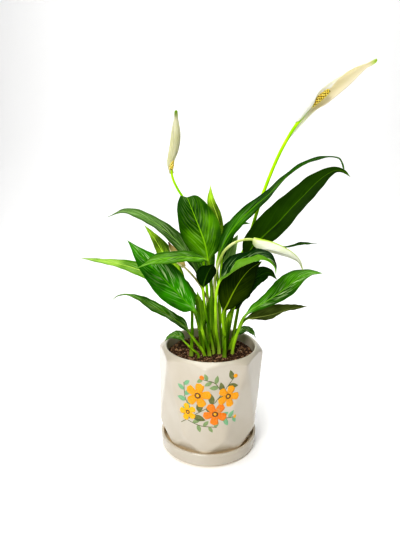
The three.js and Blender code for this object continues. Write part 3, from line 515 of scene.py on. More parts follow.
def turned(points, closed, steps, longest):
    """A body turned about the pot's axis, with no profile edge longer than a given length."""
    bm = bmesh.new()
    verts = [bm.verts.new((p.x * MM, 0, p.y * MM)) for p in points]
    pairs = list(zip(verts, verts[1:])) + ([(verts[-1], verts[0])] if closed else [])
    for a, b in pairs:
        bm.edges.new((a, b))
    for edge in list(bm.edges):
        cuts = int(edge.calc_length() / (longest * MM))
        if cuts:
            bmesh.ops.subdivide_edges(bm, edges=[edge], cuts=cuts)
    bmesh.ops.spin(bm, geom=bm.verts[:] + bm.edges[:], cent=(0, 0, 0), axis=(0, 0, 1), dvec=(0, 0, 0),
                   angle=2 * math.pi, steps=steps, use_merge=True, use_duplicate=False)
    bmesh.ops.remove_doubles(bm, verts=bm.verts, dist=POLE_GAP)
    bmesh.ops.recalc_face_normals(bm, faces=bm.faces)
    return bm


# ---- Materials ---------------------------------------------------------------------------------
# A noise's first number is its waves to the metre, or to one unit of a pattern's own space, and its
# second its detail. The last number of a bump is a depth in metres. Other numbers are shares.
class Shader:
    """A material's node tree, built up by short calls that take numbers, sockets or #rrggbb names."""

    MIX_FACTOR, MIX_A, MIX_B, MIX_RESULT = 0, 6, 7, 2       # a Mix node's sockets for colours

    def __init__(self, name, **constants):
        self.material = bpy.data.materials.new(name)
        self.material.use_nodes = True
        self.nodes = self.material.node_tree.nodes
        self.links = self.material.node_tree.links
        self.surface = self.nodes["Principled BSDF"]
        for socket, value in constants.items():
            self.surface.inputs[socket.replace("_", " ")].default_value = value
        self.place = self.nodes.new("ShaderNodeTexCoord").outputs["Object"]

    def feed(self, socket, value):
        """Sets a socket, or links it to another."""
        if isinstance(value, bpy.types.NodeSocket):
            self.links.new(value, socket)
        else:
            socket.default_value = linear(value) if isinstance(value, str) else value

    def value(self, name, output="Fac"):
        """What is kept under a name on the piece's points: a value, or with Color a colour."""
        node = self.nodes.new("ShaderNodeAttribute")
        node.attribute_name = name
        return node.outputs[output]

    def math(self, operation, *values):
        """One step of reckoning, by its name in the Math node."""
        node = self.nodes.new("ShaderNodeMath")
        node.operation = operation
        for socket, value in zip(node.inputs, values):
            self.feed(socket, value)
        return node.outputs[0]

    def plus(self, a, b):
        return self.math("ADD", a, b)

    def minus(self, a, b):
        return self.math("SUBTRACT", a, b)

    def times(self, a, b):
        return self.math("MULTIPLY", a, b)

    def size(self, a):
        """A value without its sign."""
        return self.math("ABSOLUTE", a)

    def ramp(self, value, low, high, start=0.0, end=1.0):
        """A smooth step of a value from start to end, between low and high."""
        node = self.nodes.new("ShaderNodeMapRange")
        node.interpolation_type = "SMOOTHSTEP"
        for name, number in (("Value", value), ("From Min", low), ("From Max", high),
                             ("To Min", start), ("To Max", end)):
            self.feed(node.inputs[name], number)
        return node.outputs["Result"]

    def blend(self, factor, a, b):
        """The colour a, or b as far as the factor goes."""
        node = self.nodes.new("ShaderNodeMix")
        node.data_type = "RGBA"
        self.feed(node.inputs[self.MIX_FACTOR], factor)
        self.feed(node.inputs[self.MIX_A], a)
        self.feed(node.inputs[self.MIX_B], b)
        return node.outputs[self.MIX_RESULT]

    def noise(self, scale, detail=3.0, stretch=None, place=None):
        """Cloudy noise, stretched along an axis if asked."""
        node = self.nodes.new("ShaderNodeTexNoise")
        node.inputs["Scale"].default_value = scale
        node.inputs["Detail"].default_value = detail
        place = place or self.place
        if stretch:
            mapping = self.nodes.new("ShaderNodeMapping")
            mapping.inputs["Scale"].default_value = stretch
            self.links.new(place, mapping.inputs["Vector"])
            place = mapping.outputs["Vector"]
        self.links.new(place, node.inputs["Vector"])
        return node.outputs["Fac"]

    def joined(self, x, y, z=0.0):
        """A place in a pattern's own space, put together from three values."""
        node = self.nodes.new("ShaderNodeCombineXYZ")
        for socket, value in zip(node.inputs, (x, y, z)):
            self.feed(socket, value)
        return node.outputs["Vector"]

    def part(self, axis):
        """A place's distance along one axis, in metres."""
        node = self.nodes.new("ShaderNodeSeparateXYZ")
        self.links.new(self.place, node.inputs[0])
        return node.outputs[axis]

    def from_axis(self):
        """A place's distance from the pot's upright axis, in metres."""
        squares = (self.math("POWER", self.size(self.part(axis)), 2.0) for axis in "XY")
        return self.math("SQRT", self.plus(*squares))

    def line(self, value, width, softness):
        """1 on the whole numbers of a value and 0 between them."""
        share = self.math("FRACT", self.plus(value, 0.5))
        off = self.size(self.minus(share, 0.5))
        return self.ramp(off, width, width + softness, 1.0, 0.0)

    def bump(self, height, strength, distance):
        """Fine relief in the look alone, with its distance in metres."""
        node = self.nodes.new("ShaderNodeBump")
        node.inputs["Strength"].default_value = strength
        node.inputs["Distance"].default_value = distance
        self.links.new(height, node.inputs["Height"])
        self.links.new(node.outputs["Normal"], self.surface.inputs["Normal"])

    def finish(self, colour, roughness):
        """The finished material, with its colour and its roughness joined to the surface."""
        self.feed(self.surface.inputs["Base Color"], colour)
        self.feed(self.surface.inputs["Roughness"], roughness)
        return self.material


def glaze_material(settings):
    """Thick cream glaze: even and glossy, a touch warmer where it pools, with a faint ripple, and painted
    light in the gap over the saucer.
    """
    s = Shader("cream_glaze", Coat_Weight=0.5, Coat_Roughness=0.08, IOR=1.45, Specular_IOR_Level=0.3)
    base = (*settings.glaze_colour, 1.0)
    warm = (*settings.glaze_warm, 1.0)
    drift = s.ramp(s.noise(22, 3), 0.35, 0.7)
    speck = s.ramp(s.noise(900, 2), 0.68, 0.8, 0.0, 0.35)
    colour = s.blend(s.times(drift, 0.45), base, warm)
    colour = s.blend(s.times(speck, 0.25), colour, GLAZE_SPECK)
    # Painted light: paler glaze low down in the gap between the pot's foot and the saucer
    low_down = s.ramp(s.part("Z"), *GAP_HEIGHTS)
    within = s.ramp(s.from_axis(), *GAP_REACHES)
    colour = s.blend(s.times(low_down, within), colour, GAP_PAINTED_LIGHT)
    ripple = s.plus(s.noise(75, 2), s.times(s.noise(420, 2), 0.25))
    s.bump(ripple, 0.12, 0.0012)
    return s.finish(colour, s.ramp(drift, 0, 1, 0.16, 0.24))


def print_material():
    """Transfer print under a thin clear glaze, each motif with its own ink."""
    s = Shader("transfer_print", Coat_Weight=0.15, Coat_Roughness=0.12, Specular_IOR_Level=0.2)
    grain = s.ramp(s.noise(700, 3), 0.3, 0.75, 0.0, 0.14)
    colour = s.blend(grain, s.value("ink", "Color"), WORN_INK)
    s.bump(s.noise(500, 2), 0.08, 0.0006)
    return s.finish(colour, s.ramp(grain, 0, 0.3, 0.28, 0.36))


def soil_material():
    """Dark moist peat, bark and pale grit; each crumb carries its own tone."""
    s = Shader("moist_soil", Specular_IOR_Level=0.35)
    tone = s.value("tone")
    rough_grain = s.noise(900, 6)
    peat = s.blend(s.ramp(rough_grain, 0.35, 0.7), *PEAT)
    bark = s.blend(s.ramp(s.noise(1400, 3, (1, 1, 0.3)), 0.35, 0.65), *BARK)
    grit = s.blend(rough_grain, *GRIT)
    colour = s.blend(s.ramp(tone, 0.3, 0.6), peat, bark)
    colour = s.blend(s.ramp(tone, 0.75, 0.9), colour, grit)
    s.bump(s.plus(rough_grain, s.noise(2600, 3)), 0.7, 0.0012)
    return s.finish(colour, s.ramp(rough_grain, 0.3, 0.8, 0.7, 0.95))


def leaf_mottle(s, veins, across, along):
    """Patches from dark to light: streaks beside the veins, under soft clouds, partly the leaf's own
    mottling and partly painted soft shading.
    """
    streaks = s.noise(1.1, 4, place=s.joined(veins, s.times(across, 1.3), along))
    cloud = s.plus(s.times(s.noise(32, 2), 0.52), s.times(s.noise(70, 3), 0.18))
    return s.ramp(s.plus(s.times(streaks, 0.3), cloud), 0.38, 0.62)


def leaf_lines(s, veins, fine, off_middle):
    """The side veins, fading towards the edge, and the finer ones between them."""
    lateral = s.times(s.line(veins, 0.01, 0.12), s.ramp(off_middle, 1.0, 0.5, 0.1, 1.0))
    return s.plus(s.times(lateral, 0.34), s.times(fine, 0.1))


def leaf_face(s, strength, mottle, lines, rib, to_edge, painted_tip_shade, dark, light, vein):
    """One side of a blade: mottled, veined, darker towards its edges, and with painted shade towards its
    tip.
    """
    face = s.blend(s.times(mottle, 0.4 + 0.6 * strength), dark, light)
    face = s.blend(s.times(lines, strength), face, vein)
    face = s.blend(to_edge, face, dark)
    # Painted shade towards the tip, where the blade bends back
    face = s.blend(painted_tip_shade, face, dark)
    return s.blend(rib, face, vein)


def painted_leaf_sheen(s, veins, across, off_middle, coat_and_painted_sheen, painted_sheen_side):
    """Painted highlight: pale bands beside the veins, where the wax would shine, on both halves or mostly
    on one.
    """
    bands = s.noise(1.5, 2, place=s.joined(veins, s.times(across, 1.6), 4.0))
    pale = s.ramp(bands, 0.48, 0.62, 0.0, coat_and_painted_sheen)
    inner = s.times(s.ramp(off_middle, 0.95, 0.3), s.ramp(off_middle, 0.03, 0.2))
    pale = s.times(pale, inner)
    if painted_sheen_side:
        pale = s.times(pale, s.ramp(s.times(across, painted_sheen_side), -0.3, 0.1, 0.2, 1.0))
    return s.times(pale, 0.85)


def leaf_material(look):
    """Waxy leaf: streaks along sunken veins, a midrib, a duller under side, a juicy stalk, painted
    highlights and painted shade at the tip.
    """
    (dark, light, vein, under_dark, under_light, under_vein, gloss, coat_and_painted_sheen, painted_sheen_side, tip_shade_from,
     tip_shade_depth) = LEAF_LOOKS[look]
    s = Shader(f"leaf_{look}", IOR=1.3, Specular_IOR_Level=0.05 + 0.15 * coat_and_painted_sheen,
               Coat_Weight=0.3 * coat_and_painted_sheen, Coat_Roughness=0.2, Coat_IOR=1.4)
    across, along = s.value("across"), s.value("along")
    off_middle = s.size(across)
    under = s.ramp(s.value("under"), 0.3, 0.7)
    veins = s.plus(s.value("vein"), s.times(s.minus(s.noise(45, 2), 0.5), 0.9))
    fine = s.line(s.times(veins, 4.0), 0.02, 0.3)
    mottle = leaf_mottle(s, veins, across, along)
    rib_share = s.math("DIVIDE", s.size(s.value("reach")), s.ramp(along, 0.0, 1.0, 1.25, 0.25))
    # The last of these marks is painted shade towards the tip
    marks = (mottle, leaf_lines(s, veins, fine, off_middle), s.ramp(rib_share, 0.5, 1.0, 0.85, 0.0),
             s.ramp(off_middle, 0.5, 1.0, 0.0, 0.55), s.ramp(along, tip_shade_from, 1.0, 0.0, tip_shade_depth))
    upper_side = leaf_face(s, 1.0, *marks, dark, light, vein)
    under_side = leaf_face(s, 0.2, *marks, under_dark, under_light, under_vein)
    # Painted highlight: pale bands where the wax would shine, blended into the upper side
    pale = painted_leaf_sheen(s, veins, across, off_middle, coat_and_painted_sheen, painted_sheen_side)
    upper_side = s.blend(pale, upper_side, PAINTED_LEAF_SHEEN)
    blade = s.blend(under, upper_side, under_side)
    streak = s.ramp(s.noise(130, 3, (1, 1, 0.12)), 0.3, 0.7)
    stalk = s.blend(s.ramp(along, -0.95, -0.7), s.blend(streak, *LEAF_STALK_FOOT),
                    s.blend(streak, *LEAF_STALK))
    colour = s.blend(s.ramp(along, -0.02, 0.1), stalk, blade)
    s.bump(s.minus(s.times(s.noise(1500, 2), 0.35), s.times(fine, 0.5)), 0.25, 0.0004)
    return s.finish(colour, s.plus(s.ramp(mottle, 0, 1, gloss, gloss + 0.08), s.times(under, 0.14)))


def stalk_material(look):
    """A smooth stem with fine lengthwise streaks, paler at its foot."""
    name, low, high, dry = STEM_LOOKS[look]
    s = Shader(name, IOR=1.3, Specular_IOR_Level=0.2)
    streak = s.ramp(s.noise(170, 4, (1, 1, 0.1)), 0.3, 0.7)
    foot = s.ramp(s.value("along"), -1.0, -0.8, 0.55, 0.0)
    colour = s.blend(foot, s.blend(streak, low, high), STEM_FOOT)
    s.bump(s.plus(streak, s.noise(1200, 2)), 0.15 + dry, 0.0005)
    return s.finish(colour, s.ramp(streak, 0, 1, 0.32 + dry, 0.42 + dry))


def spathe_material(name, inner, outer, rib, tip, tip_start, painted_shade=None, painted_shade_from=0.0, back=None):
    """A soft hood with fine lengthwise veins, a middle and a tip of their own colours, and painted shade
    over one half and towards the tip.
    """
    s = Shader(f"spathe_{name}", Specular_IOR_Level=0.2, Subsurface_Weight=0.6,
               Subsurface_Scale=0.004, Subsurface_Radius=(1.0, 0.95, 0.7))
    across, along = s.value("across"), s.value("along")
    off_middle = s.size(across)
    outside = s.ramp(s.value("under"), 0.3, 0.7)
    veins = s.line(s.times(across, HOOD_VEINS), 0.05, 0.35)
    cloud = s.ramp(s.noise(90, 4), 0.3, 0.7)
    colour = s.blend(outside, inner, outer)
    middle = s.ramp(off_middle, 0.02, 0.16, 0.55, 0.0)
    for strength in (s.times(cloud, 0.25), s.times(veins, 0.22), middle):
        colour = s.blend(strength, colour, rib)
    # Painted shade: beige over one half of the hood and towards its tip
    if painted_shade:
        border = s.plus(across, s.times(s.minus(cloud, 0.5), 0.12))
        border = s.plus(border, s.ramp(along, 0.5, 0.9, 0.0, 1.0))
        shade_share = s.times(s.ramp(border, painted_shade_from, painted_shade_from + 0.12), s.ramp(along, 0.1, 0.3, 0.0, 0.85))
        colour = s.blend(shade_share, colour, painted_shade)
    if back:
        colour = s.blend(s.times(s.ramp(off_middle, 0.25, 0.45, 1.0, 0.0), outside), colour, back)
    colour = s.blend(s.ramp(along, 0.12, 0.0, 0.0, 0.7), colour, rib)
    colour = s.blend(s.ramp(along, tip_start, 1.0), colour, tip)
    s.bump(s.minus(s.times(s.noise(900, 3), 0.5), s.times(veins, 0.6)), 0.3, 0.0005)
    return s.finish(colour, s.ramp(cloud, 0, 1, 0.45, 0.6))


def spadix_material():
    """Yellow florets with small brown eyes, and dark brown painted between them and low on each as their
    shade.
    """
    s = Shader("spadix_florets", Specular_IOR_Level=0.35, Subsurface_Weight=0.1, Subsurface_Scale=0.001)
    rise = s.value("rise")
    cloud = s.noise(500, 3)
    colour = s.blend(s.ramp(cloud, 0.35, 0.65), *FLORET)
    # Painted shade: dark brown on the core and low on each floret
    colour = s.blend(s.ramp(rise, 0.35, 0.78, 1.0, 0.0), colour, PAINTED_FLORET_SHADE)
    colour = s.blend(s.ramp(rise, 0.93, 0.99, 0.0, 0.8), colour, FLORET_EYE)
    s.bump(s.noise(2500, 2), 0.3, 0.0004)
    return s.finish(colour, s.ramp(cloud, 0.3, 0.7, 0.5, 0.7))


def floor_material(colour):
    """A pale matt floor with a hardly seen drift in its tone."""
    s = Shader("pale_floor", Specular_IOR_Level=0.2)
    drifted = (*[0.985 * c for c in colour], 1.0)
    return s.finish(s.blend(s.noise(3, 2), (*colour, 1.0), drifted), 0.9)


# ---- Pot, saucer and print ---------------------------------------------------------------------
def soft_min(a, b, softness):
    """The smaller of two lengths, with the corner between them rounded."""
    share = max(softness - abs(a - b), 0.0) / softness
    return min(a, b) - share * share * softness / 4


FAR = 1000.0
FACING = 0.7                     # cosine; a facet that looks further away can't be the nearest


def facet_reach(azimuth, height, softness):
    """Distance from the axis to the faceted body, in a direction and at a height."""
    half = math.pi / FACET_SIDES
    in_circle = math.cos(half)
    waist_flat = WAIST_RADIUS * in_circle
    tall_lean = (SHOULDER_RADIUS - waist_flat) / (SHOULDER_HEIGHT - WAIST_HEIGHT)
    tip_radius = waist_flat - tall_lean * (WAIST_HEIGHT - SHIELD_TIP_HEIGHT)
    low_lean = (WAIST_RADIUS - tip_radius * in_circle) / (WAIST_HEIGHT - SHIELD_TIP_HEIGHT)
    over_lean = (SHOULDER_RADIUS * in_circle - WAIST_RADIUS) / (SHOULDER_HEIGHT - WAIST_HEIGHT)
    level = min(height, SHOULDER_HEIGHT) - WAIST_HEIGHT
    tall = waist_flat + tall_lean * level
    upper = WAIST_RADIUS + over_lean * level
    lower = WAIST_RADIUS + low_lean * level
    turn = azimuth - math.radians(SHOULDER_TURN)
    reach = FAR
    for k in range(2 * FACET_SIDES):
        off = math.cos(turn - k * half)
        if off < FACING:
            continue
        for flat in ((tall,) if k % 2 == 0 else (upper, lower)):
            reach = soft_min(reach, flat / off, softness)
    return reach


def shape_facets(bm, softness):
    """Draws the wall of a turned body in to the faceted form."""
    for vert in bm.verts:
        radius = math.hypot(vert.co.x, vert.co.y) / MM
        if radius < FOOT_RADIUS - 3:
            continue
        azimuth = math.atan2(vert.co.x, -vert.co.y)
        reach = facet_reach(azimuth, vert.co.z / MM, softness)
        factor = soft_min(radius, reach, softness) / radius
        vert.co.x *= factor
        vert.co.y *= factor


def pot_corners():
    """The pot's profile before its facets, round from the drain hole up to the lip and down inside."""
    wide = SHOULDER_RADIUS + 4
    return [
        (DRAIN_RADIUS, POT_FOOT, 0.6), (FOOT_RADIUS - 2, POT_FOOT, 0.4),
        (FOOT_RADIUS + 0.4, POT_FOOT + 1.6, 1.2), (wide, WAIST_HEIGHT, 0),
        (wide, SHOULDER_HEIGHT - 3.4, 8), (LIP_RADIUS + 1.4, POT_TOP - 0.6, 1.2),
        (LIP_RADIUS - 0.3, POT_TOP + 0.2, 1.4), (MOUTH_RADIUS + 0.6, POT_TOP - 0.9, 1.2),
        (MOUTH_RADIUS, POT_TOP - 3.6, 1.5), (MOUTH_RADIUS - 0.6, POT_TOP - 12, 0),
        (POT_INNER_WAIST, WAIST_HEIGHT, 0), (POT_INNER_FLOOR_RADIUS, POT_INNER_FLOOR, 3.0),
        (DRAIN_RADIUS, POT_INNER_FLOOR, 0.6),
    ]


def saucer_corners():
    """The saucer's profile, out along its underside and back over its floor."""
    return [
        (0, 0, 0), (SAUCER_BASE_RADIUS + 0.5, 0, 1.5), (SAUCER_RADIUS - 1.2, 2.4, 3.0),
        (SAUCER_RADIUS, SAUCER_HEIGHT, 1.7), (SAUCER_INNER_RADIUS + 0.2, SAUCER_HEIGHT, 1.7),
        (SAUCER_INNER_RADIUS, SAUCER_FLOOR, 3.6), (0, SAUCER_FLOOR, 0),
    ]


def on_pot(arc, height, lift, softness):
    """A place on the pot's front, from its distance round from the middle and its height."""
    azimuth = arc / WAIST_RADIUS
    radius = facet_reach(azimuth, height, softness) + lift
    return Vector((radius * math.sin(azimuth), -radius * math.cos(azimuth), height)) * MM


PRINT_LIFT = 0.07
PRINT_TIER = 0.02                # extra lift of a motif that lies over another
PRINT_SUNK = 0.12
PRINT_SHADE = 0.16               # how much darker a motif's foot is
LEAST_WIDTH = 0.03


class PrintSheet:
    """Flat motifs that lie on the pot's wall, each a thin closed patch with its own ink."""

    TWIG_PATCHES = 10
    TWIG_WIDTH = 0.7

    def __init__(self, softness):
        self.softness = softness
        self.bm = bmesh.new()
        self.ink = self.bm.verts.layers.float_color.new("ink")

    def patch(self, centre, turn, length, width, ink, shape, tiers=0):
        """One motif: shape(t) gives its width, as a share of the full one, from foot to tip."""
        cos, sin = math.cos(turn), math.sin(turn)
        colour = linear(INKS[ink])
        grid = bmesh.ops.create_grid(self.bm, x_segments=4, y_segments=8, size=1)["verts"]
        faces = {f for v in grid for f in v.link_faces}
        solid = bmesh.ops.extrude_face_region(self.bm, geom=list(faces))["geom"]
        raised = {v for v in solid if isinstance(v, bmesh.types.BMVert)}
        for vert in set(grid) | raised:
            t = (vert.co.y + 1) / 2
            u = vert.co.x * width / 2 * max(shape(t), LEAST_WIDTH)
            v = t * length
            lift = PRINT_LIFT + PRINT_TIER * tiers if vert in raised else -PRINT_SUNK
            shade = 1 - PRINT_SHADE * (1 - t) * (1 if tiers else 0.6)
            vert[self.ink] = (*[shade * channel for channel in colour[:3]], 1)
            arc = centre[0] + u * cos + v * sin
            height = centre[1] - u * sin + v * cos
            vert.co = on_pot(arc, height, lift, self.softness)

    def leaf(self, centre, turn, length, width, ink):
        """A leaf, pointed at both ends."""
        self.patch(centre, turn, length, width, ink, lambda t: math.sin(math.pi * t ** 0.85) ** 0.8)

    def petal(self, centre, turn, length, width, ink, tiers):
        """A petal, narrow at its foot and round at its tip."""
        self.patch(centre, turn, length, width, ink,
                   lambda t: (0.25 + 0.75 * t ** 0.7) * math.sqrt(max(1 - t ** 6, 0.0)), tiers)

    def dot(self, centre, size, ink, tiers=3):
        """A round dot."""
        self.patch((centre[0], centre[1] - size / 2), 0, size, size, ink,
                   lambda t: 2 * math.sqrt(max(t * (1 - t), 0.0)), tiers)

    def blossom(self, centre, size, ink, petals, turn=0.0):
        """A simple blossom: broad round petals about a brown eye."""
        for k in range(petals):
            petal_turn = turn + 2 * math.pi * k / petals
            self.petal(centre, petal_turn, size / 2, size * 2.1 / petals, ink, 1 + k % 2)
        self.dot(centre, size * 0.24, "brown")
        self.dot(centre, size * 0.12, "gold", 4)

    def sprig(self, points, ink, leaf_ink, leaf_length, pairs):
        """A bent twig with leaves in turn on its two sides."""
        path = Path([(x, z, 0) for x, z in points])
        for k in range(self.TWIG_PATCHES):
            place, along = path.at(k / self.TWIG_PATCHES)
            turn = math.atan2(along[0], along[1])
            length = path.length / (self.TWIG_PATCHES - 0.5)
            self.patch(place[:2], turn, length, self.TWIG_WIDTH, ink, lambda t: 1.0)
        for k in range(pairs):
            place, along = path.at((k + 1) / (pairs + 0.4))
            turn = math.atan2(along[0], along[1])
            side = 1 if k % 2 else -1
            size = leaf_length * (1 - 0.3 * k / pairs)
            self.leaf(place[:2], turn + side * 0.95, size, size * 0.5, leaf_ink)


def draw_print(sheet):
    """A loose bough of five-petalled blossoms and leaves, rising from lower left to upper right."""
    bough = [(-30, 52), (-14, 64), (2, 75), (16, 90), (29, 106)]
    sheet.sprig(bough, "stem", "olive", 15, 9)
    sheet.sprig([(-14, 66), (-25, 80), (-28, 98)], "stem", "teal", 12, 6)
    sheet.sprig([(2, 73), (14, 62), (30, 60)], "stem", "teal", 12, 6)
    sheet.sprig([(14, 92), (6, 102), (-8, 107)], "stem", "sage", 10, 5)
    sheet.sprig([(-22, 57), (-8, 51), (10, 50)], "stem", "sage", 10, 5)
    sheet.blossom((-11, 87), 29, "amber", 5, 0.2)
    sheet.blossom((8, 66), 27, "orange", 5, 0.7)
    sheet.blossom((-22, 66), 20, "gold", 5, -0.3)
    sheet.blossom((22, 85), 25, "amber", 5, 0.4)
    sheet.dot((-7, 108), 5, "orange")
    sheet.dot((30, 107), 4.5, "amber")
    sheet.dot((31, 60), 4, "gold")


# ---- Soil --------------------------------------------------------------------------------------
# The soil's tones, as its material reads them, and its lumps: height, layer of the noise and how
# close together they lie.
EVEN_PEAT, PEAT_CRUMB, BARK_CHIP, GRIT_SPECK = 0.1, 0.05, 0.62, 1.0
PEAT_SHARE = 0.62
PEAT_AND_BARK_SHARE = 0.96
SOIL_LUMPS = ((2.4, 3, 0.09), (1.3, 9, 0.25))
SOIL_GRAIN = (0.55, 0, 0.9)
CRUMB_BATCH = 50


def unevenness(x, y, height, layer, pitch):
    """How far the soil rises above its even form at a place, or sinks below it."""
    return height * noise.noise(Vector((x, y, layer)) * pitch)


def soil_height(x, y):
    """Height of the soil's uneven top, in millimetres."""
    share = min(math.hypot(x, y) / SOIL_RADIUS, 1.0)
    lumps = sum(unevenness(x, y, *lump) for lump in SOIL_LUMPS)
    return SOIL_EDGE + SOIL_MOUND * (1 - share * share) + lumps * (1 - 0.5 * share)


def soil_body():
    """The soil that fills the pot, with an uneven grainy top."""
    corners = [(0, SOIL_BOTTOM, 0), (POT_INNER_FLOOR_RADIUS - 3.6, SOIL_BOTTOM, 2),
               (POT_INNER_WAIST - 0.4, WAIST_HEIGHT, 0), (SOIL_RADIUS, SOIL_EDGE, 0),
               (0, SOIL_EDGE + 1, 0)]
    bm = turned(rounded(corners, segments=5), closed=False, steps=120, longest=1.6)
    tone = bm.verts.layers.float.new("tone")
    for vert in bm.verts:
        x, y, z = vert.co / MM
        vert[tone] = EVEN_PEAT
        if z > SOIL_EDGE - 0.5:
            vert.co.z = (soil_height(x, y) + unevenness(x, y, *SOIL_GRAIN)) * MM
    return bm


def crumb_tone(pick):
    """Mostly dark peat, some bark and few pale specks."""
    if pick < PEAT_SHARE:
        return PEAT_CRUMB
    return BARK_CHIP if pick < PEAT_AND_BARK_SHARE else GRIT_SPECK


def crumb(bm, tone, chance):
    """One flat, tilted and dented crumb somewhere on the soil."""
    azimuth = chance.uniform(0, 2 * math.pi)
    radius = (SOIL_RADIUS - 1.2) * math.sqrt(chance.random())
    x, y = radius * math.cos(azimuth), radius * math.sin(azimuth)
    kind = crumb_tone(chance.random())
    size = chance.uniform(0.5, 1.7) * (0.6 if kind == GRIT_SPECK else 1.0)
    flat = (chance.uniform(0.9, 2.2), chance.uniform(0.6, 1.1), chance.uniform(0.3, 0.8))
    turn = Euler([chance.uniform(-0.6, 0.6), chance.uniform(-0.6, 0.6), chance.uniform(0, 6.3)])
    place = Matrix.Translation(Vector((x, y, soil_height(x, y) + 0.25 * size)) * MM)
    shape = place @ turn.to_matrix().to_4x4() @ Matrix.Diagonal((*[f * size * MM for f in flat], 1))
    for vert in bmesh.ops.create_icosphere(bm, subdivisions=1, radius=1.0, matrix=shape)["verts"]:
        vert[tone] = kind
        vert.co += Vector([chance.uniform(-0.18, 0.18) * size * MM for _ in range(3)])


def scatter_crumbs(bm, settings):
    """Crumbs in small batches, each joined to the soil when it is full."""
    chance = random.Random(settings.seed)
    for _ in range(settings.crumbs // CRUMB_BATCH):
        batch = bmesh.new()
        tone = batch.verts.layers.float.new("tone")
        for _ in range(CRUMB_BATCH):
            crumb(batch, tone, chance)
        mesh = bpy.data.meshes.new("crumbs")
        batch.to_mesh(mesh)
        batch.free()
        bm.from_mesh(mesh)
        bpy.data.meshes.remove(mesh)


# ---- Leaves and blooms -------------------------------------------------------------------------
LEAST_HALF_WIDTH = 0.15
ROUND_END = 0.98                 # short of 1, so that a rounded end never closes to nothing


def round_end(share, sharpness):
    """1 over most of a length or a width, and a round fall to nearly 0 where its share is 1."""
    return np.sqrt(1 - ROUND_END * share ** sharpness)


def blade_outline(t, widest):
    """A blade's width at t, from collar to tip, as a share of its full width."""
    bulge = np.sin(math.pi * t ** (math.log(0.5) / math.log(widest))) ** 0.9 if 0 < t < 1 else 0.0
    return bulge * (1 - 0.4 * smooth(0.72, 1, t))


def round_section(radius, marks, side, groove=0.0):
    """A round stalk's section, with a groove along its upper side."""
    angle = math.pi * (1 - marks) / 2
    up = radius * np.sin(angle) * side
    up -= groove * radius * np.exp(-(marks / 0.3) ** 2) * (side > 0)
    return radius * np.cos(angle), up


def blade_relief(leaf, t, u, vein, lift):
    """What raises a blade from its plain fold: waves, swellings between veins and a rippled edge."""
    own = leaf["width"]     # sets each leaf's waves apart from the others'
    phase = 2 * math.pi * (EDGE_WAVES * t + np.where(u > 0, 0.37, 0.0)) + own
    wave = leaf["wave"] * u * u * np.sin(phase) * smooth(0, 0.2, t) * (1 - smooth(0.8, 1, t))
    inner = smooth(0.05, 0.3, np.abs(u)) * (1 - smooth(0.8, 1.0, np.abs(u)))
    ends = smooth(0.04, 0.16, t) * (1 - smooth(0.86, 1.0, t))
    uneven = 0.7 + 0.5 * np.sin(2.3 * vein + own) * np.sin(5 * u + t * 7)
    swell = lift * (np.sin(math.pi * vein) ** 2 - 0.5) * inner * ends * uneven
    ripple = 0.25 * u ** 4 * np.sin(phase * 4.3 + 1.7 * own) * ends
    return wave, swell, ripple


def blade_section(leaf, t, marks, side, settings):
    """A blade's section at t, from collar to tip: its points and where its veins run."""
    tail = leaf["tail"] * smooth(0.3, 0.6, t) * round_end(t, 9)
    half = max(LEAST_HALF_WIDTH, tail, leaf["width"] / 2 * blade_outline(t, leaf["widest"]))
    u = np.sign(marks) * np.abs(marks) ** 1.25
    reach = half * u
    vein = VEINS * (t - VEIN_SWEEP * np.abs(u) ** VEIN_BEND)
    fold = math.radians(leaf["fold"])
    valley = np.sqrt(reach ** 2 + 1.0) - 1.0
    up = valley * math.sin(fold)
    for relief in blade_relief(leaf, t, u, vein, settings.vein_lift / MM):
        up = up + relief
    thick = settings.blade_thickness / MM * round_end(u, 4) * (1 - 0.35 * t)
    up = up + side * thick / 2
    # The midrib stands out below, and lies in a groove above.
    rib = leaf["stalk"][1] * (1 - t) ** 1.3
    up -= (side < 0) * 1.5 * rib * np.exp(-(reach / (0.75 + 0.55 * rib)) ** 2)
    up -= (side > 0) * 0.3 * (1 - 0.6 * t) * np.exp(-(reach / 0.8) ** 2)
    return reach * math.cos(fold), up, u, reach, vein


def laid(section, x, up):
    """A section's points, laid in their place on the plant."""
    place, sideways, normal = section
    return place + np.outer(x, sideways) + np.outer(up, normal)


